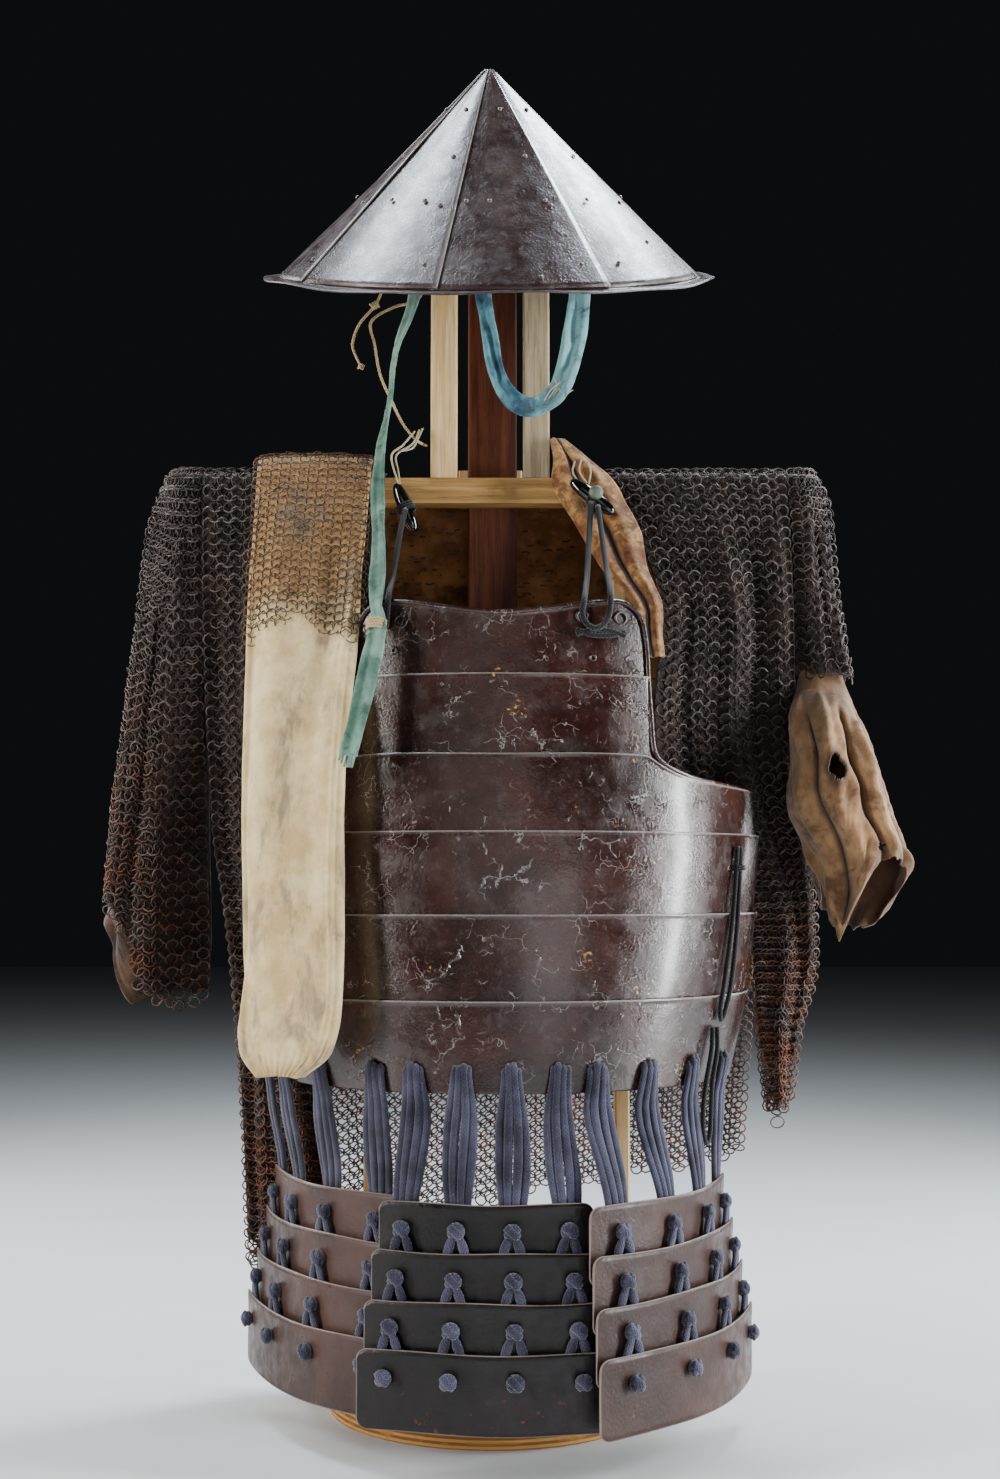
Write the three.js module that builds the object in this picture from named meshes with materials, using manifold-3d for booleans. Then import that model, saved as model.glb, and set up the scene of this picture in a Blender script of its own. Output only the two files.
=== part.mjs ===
// A foot soldier's armour on its wooden stand: hat, cuirass with skirt plates, mail jacket and sock.
// Millimetres, +Z up. The armour faces -Y, and the origin is under the middle of the base disc.
import * as THREE from "three";
import { mergeVertices } from "three/addons/utils/BufferGeometryUtils.js";
import Module from "manifold-3d";

const wasm = await Module();
wasm.setup();

// ---- driving sizes ----
const gap = 0.3; // left between pieces that meet
const iron = 2; // wall of hat, cuirass and skirt plates
const mail = 3; // mail on its lining cloth
const cotton = 2; // wall of the sock and the cuffs

const disc = { radius: 142, height: 12 };
const yoke = { halfLength: 278, depth: 24, low: 798.5, high: 821.5, shoulder: 828 };
const upright = { x: 111, shift: 4, width: 13, depth: 24 };
const rail = { low: 560, high: 590, depth: 24 };
const centrePost = { x: 0, width: 45, depth: 22, top: 1092 };
const headPost = { left: -44, right: 40, width: 24, depth: 24, top: 1102 };
const hat = { radius: 190, height: 178, flange: 15, tilt: 22, x: -3, y: -10, z: 1010 };
const cuirass = { shift: 8, wingAngle: 83, lap: 3.4, overlap: 9, holeRow: 316, bottom: 290 };
const lame = { height: 60, pitch: 36, top: 209, flare: 6.5, widen: 2.5, corner: 8, slotDrop: 20 };
const lace = { width: 20, thick: 2.4, offset: 2.8 };

const { lerp, degToRad } = THREE.MathUtils;
const vec = (x, y, z) => new THREE.Vector3(x, y, z);

const set = new THREE.Group();
set.name = "foot_soldier_armour";

// ---- building blocks ----

function add(name, geometry, finish) {
  const mesh = new THREE.Mesh(geometry, new THREE.MeshStandardMaterial(finish));
  mesh.name = name;
  set.add(mesh);
  return mesh;
}

// One column of a table at a height or place, smooth through the rows, which run in order of `by`.
function column(table, name, at, by = "z") {
  const rising = table[table.length - 1][by] > table[0][by];
  const rows = rising ? table : [...table].reverse();
  const last = rows.length - 1;
  const place = Math.min(Math.max(at, rows[0][by]), rows[last][by]);
  let i = 0;
  while (i < last - 1 && place > rows[i + 1][by]) i++;
  const slope = (k) => {
    const before = rows[Math.max(k - 1, 0)];
    const after = rows[Math.min(k + 1, last)];
    return (after[name] - before[name]) / (after[by] - before[by]);
  };
  const span = rows[i + 1][by] - rows[i][by];
  const t = (place - rows[i][by]) / span;
  const rise = rows[i + 1][name] - rows[i][name];
  const bend = (1 - t) * (slope(i) * span - rise) - t * (slope(i + 1) * span - rise);
  return rows[i][name] + t * rise + t * (1 - t) * bend;
}

// A closed mesh from points and triangles, turned so that its faces point outwards.
function closedMesh(points, triangles) {
  let volume = 0;
  for (const [a, b, c] of triangles) {
    volume += points[a].dot(points[b].clone().cross(points[c]));
  }
  const order = volume < 0 ? ([a, b, c]) => [a, c, b] : (t) => t;
  const geometry = new THREE.BufferGeometry().setFromPoints(points);
  geometry.setIndex(triangles.flatMap(order));
  return geometry;
}

// A wall of even thickness around the middle surface at(u, v), with u and v from 0 to 1.
// loop joins u = 1 to u = 0, and cap closes the end v = 1 of a loop, as at a toe.
function wall(at, stepsU, stepsV, thickness, { loop = false, cap = false } = {}) {
  const columns = loop ? stepsU : stepsU + 1;
  const rows = stepsV + 1;
  const grid = [];
  for (let j = 0; j < rows; j++) {
    for (let i = 0; i < columns; i++) grid.push(at(i / stepsU, j / stepsV));
  }
  const index = (i, j) => j * columns + (loop ? (i + columns) % columns : i);
  const pick = (i, j) => {
    const inU = loop ? i : Math.min(Math.max(i, 0), columns - 1);
    return grid[index(inU, Math.min(Math.max(j, 0), rows - 1))];
  };
  const outer = [];
  const inner = [];
  for (let j = 0; j < rows; j++) {
    for (let i = 0; i < columns; i++) {
      const alongU = pick(i + 1, j).clone().sub(pick(i - 1, j));
      const alongV = pick(i, j + 1).clone().sub(pick(i, j - 1));
      const half = alongU.cross(alongV).setLength(thickness / 2);
      outer.push(pick(i, j).clone().add(half));
      inner.push(pick(i, j).clone().sub(half));
    }
  }
  const points = [...outer, ...inner];
  const n = grid.length;
  const triangles = [];
  const quad = (a, b, c, d) => triangles.push([a, b, c], [a, c, d]);
  for (let j = 0; j < stepsV; j++) {
    for (let i = 0; i < stepsU; i++) {
      const [a, b, c, d] = [index(i, j), index(i + 1, j), index(i + 1, j + 1), index(i, j + 1)];
      quad(a, b, c, d);
      quad(n + a, n + d, n + c, n + b);
    }
  }
  for (let i = 0; i < stepsU; i++) {
    const [a, b] = [index(i, 0), index(i + 1, 0)];
    quad(a, n + a, n + b, b);
    if (cap) continue;
    const [c, d] = [index(i, stepsV), index(i + 1, stepsV)];
    quad(d, n + d, n + c, c);
  }
  for (let j = 0; j < stepsV && !loop; j++) {
    const [a, b] = [index(0, j), index(0, j + 1)];
    quad(b, n + b, n + a, a);
    const [c, d] = [index(stepsU, j), index(stepsU, j + 1)];
    quad(c, n + c, n + d, d);
  }
  if (cap) {
    const middle = (j) => {
      const sum = vec(0, 0, 0);
      for (let i = 0; i < columns; i++) sum.add(grid[index(i, j)]);
      return sum.divideScalar(columns);
    };
    const tip = middle(stepsV);
    const out = tip.clone().sub(middle(stepsV - 1)).setLength(thickness);
    points.push(tip.clone().add(out), tip);
    for (let i = 0; i < stepsU; i++) {
      const [a, b] = [index(i, stepsV), index(i + 1, stepsV)];
      triangles.push([a, b, 2 * n], [n + b, n + a, 2 * n + 1]);
    }
  }
  return closedMesh(points, triangles);
}

// A round cord along a smooth curve through its route.
function cordTube(route, diameter, steps) {
  const sides = 8;
  const section = new THREE.Shape();
  for (let i = 0; i < sides; i++) {
    const angle = (2 * Math.PI * i) / sides;
    const [x, y] = [(Math.cos(angle) * diameter) / 2, (Math.sin(angle) * diameter) / 2];
    if (i) section.lineTo(x, y);
    else section.moveTo(x, y);
  }
  section.closePath();
  const path = new THREE.CatmullRomCurve3(route.map(([x, y, z]) => vec(x, y, z)));
  return new THREE.ExtrudeGeometry(section, { steps, extrudePath: path, curveSegments: 1 });
}

// A flat strap along its route. It faces -Y, edge on to its bends, and `turn` twists it in degrees.
function strap(route, width, thickness, steps) {
  const path = new THREE.CatmullRomCurve3(route.map((p) => vec(p.x, p.y, p.z)));
  const turns = route.map((p, i) => ({ place: i / (route.length - 1), turn: p.turn || 0 }));
  const facing = vec(0, -1, 0);
  return wall(
    (u, v) => {
      const along = path.getTangent(v);
      const across = facing.clone().cross(along).normalize();
      across.applyAxisAngle(along, degToRad(column(turns, "turn", v, "place")));
      return path.getPoint(v).addScaledVector(across, (u - 0.5) * width);
    },
    1,
    steps,
    thickness,
  );
}

function solid(geometry) {
  const bare = geometry.index ? geometry.clone() : geometry;
  bare.deleteAttribute("normal");
  bare.deleteAttribute("uv");
  const merged = mergeVertices(bare, 1e-4);
  return new wasm.Manifold(
    new wasm.Mesh({
      numProp: 3,
      vertProperties: merged.attributes.position.array,
      triVerts: new Uint32Array(merged.index.array),
    }),
  );
}

function cutAway(geometry, cutters) {
  let body = solid(geometry);
  for (const cutter of cutters) body = body.subtract(solid(cutter));
  const mesh = body.getMesh();
  const result = new THREE.BufferGeometry();
  result.setAttribute("position", new THREE.BufferAttribute(mesh.vertProperties, 3));
  result.setIndex(new THREE.BufferAttribute(mesh.triVerts, 1));
  return result;
}

// A post or beam between two corners, with its long edges broken.
function timber(low, high) {
  const size = high.clone().sub(low);
  const broken = 1.5;
  const outline = new THREE.Shape();
  const [w, d] = [size.x / 2, size.y / 2];
  outline.moveTo(-w + broken, -d);
  outline.lineTo(w - broken, -d);
  outline.lineTo(w, -d + broken);
  outline.lineTo(w, d - broken);
  outline.lineTo(w - broken, d);
  outline.lineTo(-w + broken, d);
  outline.lineTo(-w, d - broken);
  outline.lineTo(-w, -d + broken);
  outline.closePath();
  const geometry = new THREE.ExtrudeGeometry(outline, { depth: size.z, bevelEnabled: false });
  return geometry.translate((low.x + high.x) / 2, (low.y + high.y) / 2, low.z);
}

// ---- wooden stand ----

const pine = { color: 0xd9b98a, roughness: 0.7, metalness: 0 };
const oldPine = { color: 0xa9824f, roughness: 0.7, metalness: 0 };
const redwood = { color: 0x5a2f22, roughness: 0.6, metalness: 0 };
const plywood = { color: 0xc4873f, roughness: 0.7, metalness: 0 };

function buildStand() {
  const plate = new THREE.CylinderGeometry(disc.radius, disc.radius, disc.height, 48);
  add("base_disc", plate.rotateX(Math.PI / 2).translate(0, 0, disc.height / 2), plywood);

  for (const [name, side] of [["upright_left", -1], ["upright_right", 1]]) {
    const x = upright.shift + side * upright.x;
    const low = vec(x - upright.width / 2, -upright.depth / 2, disc.height + gap);
    const high = vec(x + upright.width / 2, upright.depth / 2, yoke.low - gap);
    add(name, timber(low, high), pine);
  }
  const reach = upright.x - upright.width / 2 - gap;
  const railLow = vec(upright.shift - reach, -rail.depth / 2, rail.low);
  const railHigh = vec(upright.shift + reach, rail.depth / 2, rail.high);
  add("waist_rail", timber(railLow, railHigh), pine);

  const beamLow = vec(-yoke.halfLength, -yoke.depth / 2, yoke.low);
  add("yoke_beam", timber(beamLow, vec(yoke.halfLength, yoke.depth / 2, yoke.high)), oldPine);

  // The centre post is fixed to the backs of the rail and the beam, and carries the head posts.
  const back = yoke.depth / 2 + gap;
  const postLow = vec(centrePost.x - centrePost.width / 2, back, rail.low);
  const postHigh = vec(centrePost.x + centrePost.width / 2, back + centrePost.depth, centrePost.top);
  add("centre_post", timber(postLow, postHigh), redwood);

  for (const [name, x] of [["head_post_left", headPost.left], ["head_post_right", headPost.right]]) {
    const low = vec(x - headPost.width / 2, -headPost.depth / 2, yoke.high + gap);
    add(name, timber(low, vec(x + headPost.width / 2, headPost.depth / 2, headPost.top)), pine);
  }
  const between = headPost.width / 2 + gap;
  const behind = back + centrePost.depth + gap;
  const battenLow = vec(headPost.left + between, behind, yoke.high + gap);
  const battenHigh = vec(headPost.right - between, behind + 8, yoke.high + 17);
  add("head_batten", timber(battenLow, battenHigh), pine);
}

// ---- hat: a cone with a narrow out-turned flange, tilted forwards ----

const lacqueredIron = { color: 0x5a4340, roughness: 0.45, metalness: 0.3 };

function buildHat() {
  const { radius, height, flange } = hat;
  const fall = iron * Math.hypot(1, height / radius);
  const profile = [
    [0, height],
    [radius, 0],
    [radius + flange, -1],
    [radius + flange, -1 - iron],
    [radius, -iron],
    [radius - 3, -iron + 0.5],
    [0, height - fall],
  ];
  const cone = new THREE.LatheGeometry(profile.reverse().map(([x, y]) => new THREE.Vector2(x, y)), 48);
  const mesh = add("hat", cone, lacqueredIron);
  mesh.rotation.x = Math.PI / 2 + degToRad(hat.tilt);
  mesh.position.set(hat.x, hat.y, hat.z);
}

// ---- cuirass: six plates bent round the front and sides, each lapping over the one above ----

const darkLacquer = { color: 0x3a2624, roughness: 0.5, metalness: 0.2 };

// Half width and depth of the plan at each height.
const cuirassPlan = [
  { z: 695, half: 200, depth: 148 },
  { z: 623, half: 204, depth: 160 },
  { z: 563, half: 216, depth: 173 },
  { z: 497, half: 226, depth: 186 },
  { z: 432, half: 223, depth: 195 },
  { z: 366, half: 215, depth: 201 },
  { z: 280, half: 199, depth: 204 },
];
// Half width of the plates between the armholes.
const chest = [
  { z: 689, half: 98 },
  { z: 684, half: 110 },
  { z: 672, half: 118 },
  { z: 650, half: 121 },
  { z: 600, half: 124 },
  { z: 550, half: 128 },
];
const seams = [689, 627, 560, 497, 430, 362];

function cuirassPoint(angle, z, out) {
  const half = column(cuirassPlan, "half", z);
  const depth = column(cuirassPlan, "depth", z);
  const [s, c] = [Math.sin(angle), Math.cos(angle)];
  const normal = vec(s / half, -c / depth, 0).normalize();
  return vec(cuirass.shift + half * s, -depth * c, z).addScaledVector(normal, out);
}

const angleAt = (halfWidth, z) => Math.asin(halfWidth / column(cuirassPlan, "half", z));

// The top edge of the plate under the armholes: level in front, then falling along each armhole.
const armhole = [
  { x: 0, z: 560 },
  { x: 122, z: 560 },
  { x: 134, z: 553 },
  { x: 150, z: 545 },
  { x: 180, z: 539 },
  { x: 226, z: 535 },
];

function buildCuirass() {
  const wing = degToRad(cuirass.wingAngle);
  for (let i = 0; i < seams.length; i++) {
    const last = i === seams.length - 1;
    const low = last ? cuirass.bottom : seams[i + 1] - cuirass.overlap;
    const half = (z) => (i < 2 ? angleAt(column(chest, "half", z), z) : wing);
    const neck = (share) => (i === 0 ? -11 * Math.cos(share * 0.5 * Math.PI) ** 2 : 0);
    const top = (angle, share) => {
      if (i !== 2) return seams[i] + neck(share);
      return column(armhole, "z", Math.abs(Math.sin(angle)) * 226, "x");
    };
    const geometry = wall(
      (u, v) => {
        const share = 2 * u - 1;
        const reach = half(lerp(low, seams[i], v));
        const angle = share * reach;
        const z = lerp(low, top(angle, share), v);
        return cuirassPoint(angle, z, i === 0 ? 0 : cuirass.lap * v);
      },
      i < 2 ? 10 : 20,
      i === 0 ? 5 : 2,
      iron,
    );
    add(`cuirass_plate_${i + 1}`, geometry, darkLacquer);
  }
}

// ---- skirt: three panels of four plates, hung on twelve lace columns ----

const skirtLacquer = { color: 0x6b5552, roughness: 0.5, metalness: 0.2 };
const indigo = { color: 0x5b5f7e, roughness: 0.9, metalness: 0 };

// Each panel's plan at its top plate: its left and right ends and how far its middle bulges out.
const panels = [
  { name: "left", leftX: -190, leftY: -8, rightX: -67, rightY: -191, bulge: 26 },
  { name: "centre", leftX: -87, leftY: -206, rightX: 79, rightY: -220, bulge: 15 },
  { name: "right", leftX: 75, leftY: -243, rightX: 197, rightY: -60, bulge: 26 },
];
const columnShares = [0.12, 0.375, 0.63, 0.885];

const lameTop = (i) => lame.top - i * lame.pitch;

// A point of a panel's plate i at `along` from its left to its right end, moved `out` of its middle.
function lamePoint(panel, i, along, out) {
  const [a, b] = [vec(panel.leftX, panel.leftY, 0), vec(panel.rightX, panel.rightY, 0)];
  const chord = b.clone().sub(a);
  const across = chord.clone().normalize();
  const outward = vec(across.y, -across.x, 0);
  const side = 2 * along - 1;
  const tilt = Math.atan((-4 * panel.bulge * side) / chord.length());
  const normal = outward.clone().multiplyScalar(Math.cos(tilt)).addScaledVector(across, -Math.sin(tilt));
  return a
    .addScaledVector(chord, along)
    .addScaledVector(across, side * i * lame.widen)
    .addScaledVector(outward, panel.bulge * (1 - side * side))
    .addScaledVector(normal, out + i * lame.flare);
}

// How much a rounded corner takes off the height at a distance from the plate's end.
function cornerLoss(distance) {
  const short = lame.corner - Math.min(distance, lame.corner);
  return lame.corner - Math.sqrt(lame.corner ** 2 - short ** 2);
}

function lamePlate(panel, i) {
  const length = Math.hypot(panel.rightX - panel.leftX, panel.rightY - panel.leftY);
  return wall(
    (u, v) => {
      const along = (1 - Math.cos(Math.PI * u)) / 2;
      const loss = cornerLoss(Math.min(along, 1 - along) * length);
      const high = lameTop(i) - loss;
      const low = lameTop(i) - lame.height + loss;
      return lamePoint(panel, i, along, 0).setZ(lerp(low, high, v));
    },
    14,
    1,
    iron,
  );
}

function laceSlot(panel, i, along) {
  const middle = lamePoint(panel, i, along, 0);
  const away = lamePoint(panel, i, along, 1).sub(middle);
  const box = new THREE.BoxGeometry(lace.width + 2, 12, 14);
  box.rotateZ(Math.atan2(away.y, away.x) + Math.PI / 2);
  return box.translate(middle.x, middle.y, lameTop(i) - lame.slotDrop);
}

// A lace lies over the cuirass's edge, goes behind the first plate and out through its slot, then
// over that plate and behind the next, down to the last slot. Each place has its own width direction.
function laceRoute(panel, along) {
  const first = lamePoint(panel, 0, along, 0);
  const angle = Math.atan2(first.x - cuirass.shift, -first.y);
  const between = (from, to) => to.sub(from).normalize();
  const step = 0.01;
  const round = between(cuirassPoint(angle - step, 300, 0), cuirassPoint(angle + step, 300, 0));
  const level = between(lamePoint(panel, 0, along - step, 0), lamePoint(panel, 0, along + step, 0));
  const out = cuirass.lap * 0.6 + lace.offset;
  const route = [cuirass.holeRow, 303, cuirass.bottom - 3].map((z) => {
    return { point: cuirassPoint(angle, z, out), across: round };
  });
  for (let i = 0; i < 4; i++) {
    const slot = lameTop(i) - lame.slotDrop;
    const heights = [lameTop(i) + 2, slot + 6, slot - 6, slot - 11];
    heights.forEach((z, k) => {
      const offset = k < 2 ? -lace.offset : lace.offset;
      route.push({ point: lamePoint(panel, i, along, offset).setZ(z), across: level });
    });
  }
  return route;
}

function laceBand(panel, along) {
  const route = laceRoute(panel, along);
  const steps = route.length - 1;
  const at = (u, v) => {
    const { point, across } = route[Math.round(v * steps)];
    return point.clone().addScaledVector(across, (u - 0.5) * lace.width);
  };
  return wall(at, 1, steps, lace.thick);
}

function buildSkirt() {
  for (const panel of panels) {
    for (let i = 0; i < 4; i++) {
      const slots = columnShares.map((along) => laceSlot(panel, i, along));
      add(`lame_${panel.name}_${i + 1}`, cutAway(lamePlate(panel, i), slots), skirtLacquer);
    }
    columnShares.forEach((along, k) => {
      add(`lace_${panel.name}_${k + 1}`, laceBand(panel, along), indigo);
    });
  }
}

// ---- mail jacket: it hangs over the yoke, its fronts go inside the cuirass ----

const mailFinish = { color: 0x4a3a32, roughness: 0.6, metalness: 0.4 };
const tanCloth = { color: 0xb98d66, roughness: 0.95, metalness: 0 };
const brownCloth = { color: 0x6b4a35, roughness: 0.95, metalness: 0 };

// Armhole and side seam. x is the seam, open is half the armhole's width, outer the sleeve's far edge
// and depth half of the sleeve's depth.
const leftSide = [
  { z: 828, x: -262, open: 0.6, outer: -284, depth: 0.5 },
  { z: 826.8, x: -262, open: 8, outer: -289, depth: 6 },
  { z: 823, x: -262, open: 14.5, outer: -293, depth: 13 },
  { z: 814, x: -262, open: 17, outer: -297, depth: 17 },
  { z: 780, x: -261, open: 24, outer: -305, depth: 21 },
  { z: 700, x: -259, open: 30, outer: -314, depth: 27 },
  { z: 600, x: -257, open: 22, outer: -326, depth: 32 },
  { z: 540, x: -255, open: 10, outer: -334, depth: 34 },
  { z: 500, x: -254, open: 7, outer: -337, depth: 34 },
  { z: 440, x: -252, open: 4, outer: -345, depth: 34 },
  { z: 420, x: -251, open: 2, outer: -346, depth: 33 },
  { z: 330, x: -251, open: 2, outer: -344, depth: 30 },
];
const rightSide = [
  { z: 828, x: 268, open: 0.6, outer: 286, depth: 0.5 },
  { z: 826.8, x: 268, open: 8, outer: 290, depth: 6 },
  { z: 823, x: 268, open: 14.5, outer: 293, depth: 13 },
  { z: 814, x: 268, open: 17, outer: 297, depth: 17 },
  { z: 780, x: 269, open: 24, outer: 301, depth: 20 },
  { z: 720, x: 271, open: 20, outer: 306, depth: 24 },
  { z: 660, x: 273, open: 6, outer: 315, depth: 27 },
  { z: 635, x: 274, open: 2, outer: 323, depth: 28 },
];

// Cloth folds over the yoke in short steps and then falls in even ones.
const foldDrops = [0, 1.2, 5, 14];

function shoulderLevel(v, steps, low) {
  const row = Math.round(v * steps);
  const folded = foldDrops.length - 1;
  if (row <= folded) return yoke.shoulder - foldDrops[row];
  return lerp(yoke.shoulder - foldDrops[folded], low, (row - folded) / (steps - folded));
}

// Sleeve section: a half ring from the front of the armhole round the outer fold to its back.
function sleevePoint(side, u, z, inset) {
  const angle = Math.PI * u;
  const [seam, open] = [column(side, "x", z), column(side, "open", z)];
  const reach = column(side, "outer", z) - seam;
  const full = column(side, "depth", z) - 0.7 * open;
  const x = seam + Math.sign(reach) * 2 * gap + reach * Math.sin(angle) ** 0.8;
  const point = vec(x, -open * Math.cos(angle) - full * Math.sin(2 * angle), z);
  const middle = vec(seam + reach / 2, 0, z);
  return point.addScaledVector(middle.sub(point).normalize(), inset);
}

// Height of the left sleeve's slanting mouth, from the front seam round to the back.
const leftMouth = [
  { u: 0, mail: 346, cuff: 378 },
  { u: 0.15, mail: 345, cuff: 360 },
  { u: 0.25, mail: 400, cuff: 352 },
  { u: 0.5, mail: 458, cuff: 426 },
  { u: 0.8, mail: 410, cuff: 384 },
  { u: 1, mail: 380, cuff: 398 },
];

// A panel of the jacket's body. Its rows give, at each height, the side seam and the free edge.
// bow swells its middle, neck carries the back behind the centre post where the collar opens, and
// forward keeps a front back beside the cuirass's end before it turns in.
function bodyPanel(rows, { bow, neck = 0, forward = 1, stepsU, stepsV }) {
  const low = rows[rows.length - 1].z;
  return wall(
    (u, v) => {
      const place = shoulderLevel(v, stepsV, low);
      const below = yoke.shoulder - place;
      const x = lerp(column(rows, "seamX", place), column(rows, "edgeX", place), u);
      const swell = bow * Math.sin(Math.PI * u) * Math.min(1, below / 200);
      const open = Math.sin(Math.PI * u) ** 6 * Math.max(0, 1 - below / 130);
      const y = lerp(column(rows, "seamY", place), column(rows, "edgeY", place), u ** forward);
      const fall = column(rows, "drop", place) * u + neck * 0.35 * open;
      return vec(x, y + swell + neck * open, place - fall);
    },
    stepsU,
    stepsV,
    mail,
  );
}

const backRows = [
  { z: 828, seamX: -262, seamY: 0.6, edgeX: 268, edgeY: 0.6, drop: 0 },
  { z: 826.8, seamX: -262, seamY: 8, edgeX: 268, edgeY: 8, drop: 0 },
  { z: 823, seamX: -262, seamY: 14.5, edgeX: 268, edgeY: 14.5, drop: 0 },
  { z: 814, seamX: -262, seamY: 17, edgeX: 268, edgeY: 17, drop: 0 },
  { z: 780, seamX: -261, seamY: 24, edgeX: 268, edgeY: 24, drop: 0 },
  { z: 700, seamX: -259, seamY: 30, edgeX: 270, edgeY: 22, drop: 0 },
  { z: 600, seamX: -256, seamY: 22, edgeX: 273, edgeY: 20, drop: 0 },
  { z: 500, seamX: -251, seamY: 7, edgeX: 270, edgeY: 28, drop: 0 },
  { z: 430, seamX: -240, seamY: 4, edgeX: 258, edgeY: 42, drop: -10 },
  { z: 350, seamX: -230, seamY: 4, edgeX: 244, edgeY: 62, drop: -40 },
  { z: 250, seamX: -223, seamY: 12, edgeX: 238, edgeY: 70, drop: -60 },
  { z: 110, seamX: -216, seamY: 17, edgeX: 230, edgeY: 78, drop: -88 },
];
const leftFrontRows = [
  { z: 828, seamX: -262, seamY: -0.6, edgeX: -96, edgeY: -0.6, drop: 0 },
  { z: 826.8, seamX: -262, seamY: -8, edgeX: -96, edgeY: -8, drop: 0 },
  { z: 823, seamX: -262, seamY: -14.5, edgeX: -97, edgeY: -14.5, drop: 0 },
  { z: 814, seamX: -262, seamY: -17, edgeX: -97, edgeY: -17, drop: 0 },
  { z: 780, seamX: -261, seamY: -24, edgeX: -99, edgeY: -26, drop: 0 },
  { z: 700, seamX: -259, seamY: -30, edgeX: -103, edgeY: -50, drop: 0 },
  { z: 600, seamX: -256, seamY: -22, edgeX: -108, edgeY: -60, drop: 0 },
  { z: 540, seamX: -253, seamY: -10, edgeX: -110, edgeY: -62, drop: 0 },
  { z: 500, seamX: -251, seamY: -7, edgeX: -112, edgeY: -62, drop: 0 },
  { z: 430, seamX: -240, seamY: -4, edgeX: -122, edgeY: -58, drop: 0 },
  { z: 350, seamX: -230, seamY: -1, edgeX: -135, edgeY: -48, drop: 0 },
  { z: 250, seamX: -223, seamY: 7, edgeX: -142, edgeY: -20, drop: 0 },
  { z: 110, seamX: -216, seamY: 12, edgeX: -150, edgeY: 2, drop: 0 },
];
const rightFrontRows = [
  { z: 828, seamX: 268, seamY: -0.6, edgeX: 98, edgeY: -0.6, drop: 0 },
  { z: 826.8, seamX: 268, seamY: -8, edgeX: 98, edgeY: -8, drop: 0 },
  { z: 823, seamX: 268, seamY: -14.5, edgeX: 100, edgeY: -14.5, drop: 0 },
  { z: 814, seamX: 268, seamY: -17, edgeX: 104, edgeY: -17, drop: 0 },
  { z: 780, seamX: 268, seamY: -24, edgeX: 124, edgeY: -26, drop: 0 },
  { z: 700, seamX: 270, seamY: -22, edgeX: 148, edgeY: -46, drop: 0 },
  { z: 600, seamX: 275, seamY: -2, edgeX: 142, edgeY: -52, drop: 0 },
  { z: 540, seamX: 281, seamY: 2, edgeX: 150, edgeY: -48, drop: 0 },
  { z: 480, seamX: 287, seamY: 4, edgeX: 196, edgeY: -20, drop: 0 },
  { z: 430, seamX: 290, seamY: 4, edgeX: 229, edgeY: 2, drop: 0 },
  { z: 378, seamX: 290, seamY: 4, edgeX: 234, edgeY: 0, drop: 0 },
  { z: 330, seamX: 275, seamY: 2, edgeX: 237, edgeY: -2, drop: 0 },
  { z: 250, seamX: 262, seamY: 0, edgeX: 247, edgeY: -2, drop: 4 },
];

function sleeve(side, mouth, steps) {
  return wall((u, v) => sleevePoint(side, u, shoulderLevel(v, steps, mouth(u)), 0), 16, steps, mail);
}

// The torn tan cloth of the right sleeve: a tube that hangs out of the mail and flares to its hem.
const rightCuffRows = [
  { z: 648, inner: 294, outer: 312, y: -3, depth: 8 },
  { z: 632, inner: 292, outer: 316, y: -4, depth: 11 },
  { z: 604, inner: 272, outer: 326, y: -26, depth: 28 },
  { z: 560, inner: 263, outer: 338, y: -40, depth: 32 },
  { z: 520, inner: 261, outer: 350, y: -46, depth: 33 },
  { z: 470, inner: 280, outer: 362, y: -48, depth: 30 },
  { z: 405, inner: 286, outer: 326, y: -48, depth: 24 },
];
const rightHem = [
  { u: 0, z: 498 },
  { u: 0.12, z: 440 },
  { u: 0.25, z: 406 },
  { u: 0.4, z: 440 },
  { u: 0.5, z: 462 },
  { u: 0.75, z: 470 },
  { u: 1, z: 498 },
];

// Collar band at the right of the neck. low and high are its two edges.
const collarRows = [
  { z: 857, low: 54, high: 66, y: -11 },
  { z: 836, low: 55, high: 88, y: -19 },
  { z: 817, low: 53, high: 108, y: -24 },
  { z: 795, low: 62, high: 120, y: -30 },
  { z: 765, low: 78, high: 132, y: -42 },
  { z: 735, low: 94, high: 136, y: -54 },
  { z: 700, low: 118, high: 147, y: -66 },
  { z: 650, low: 128, high: 149, y: -78 },
];

// The right cuff starts inside the mail and only widens below it.
const rightCuffSteps = 7;

function cuffLevel(v, hem) {
  const [tuckedIn, clear] = [648, 632];
  const row = Math.round(v * rightCuffSteps);
  return row === 0 ? tuckedIn : lerp(clear, hem, (row - 1) / (rightCuffSteps - 1));
}

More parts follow.
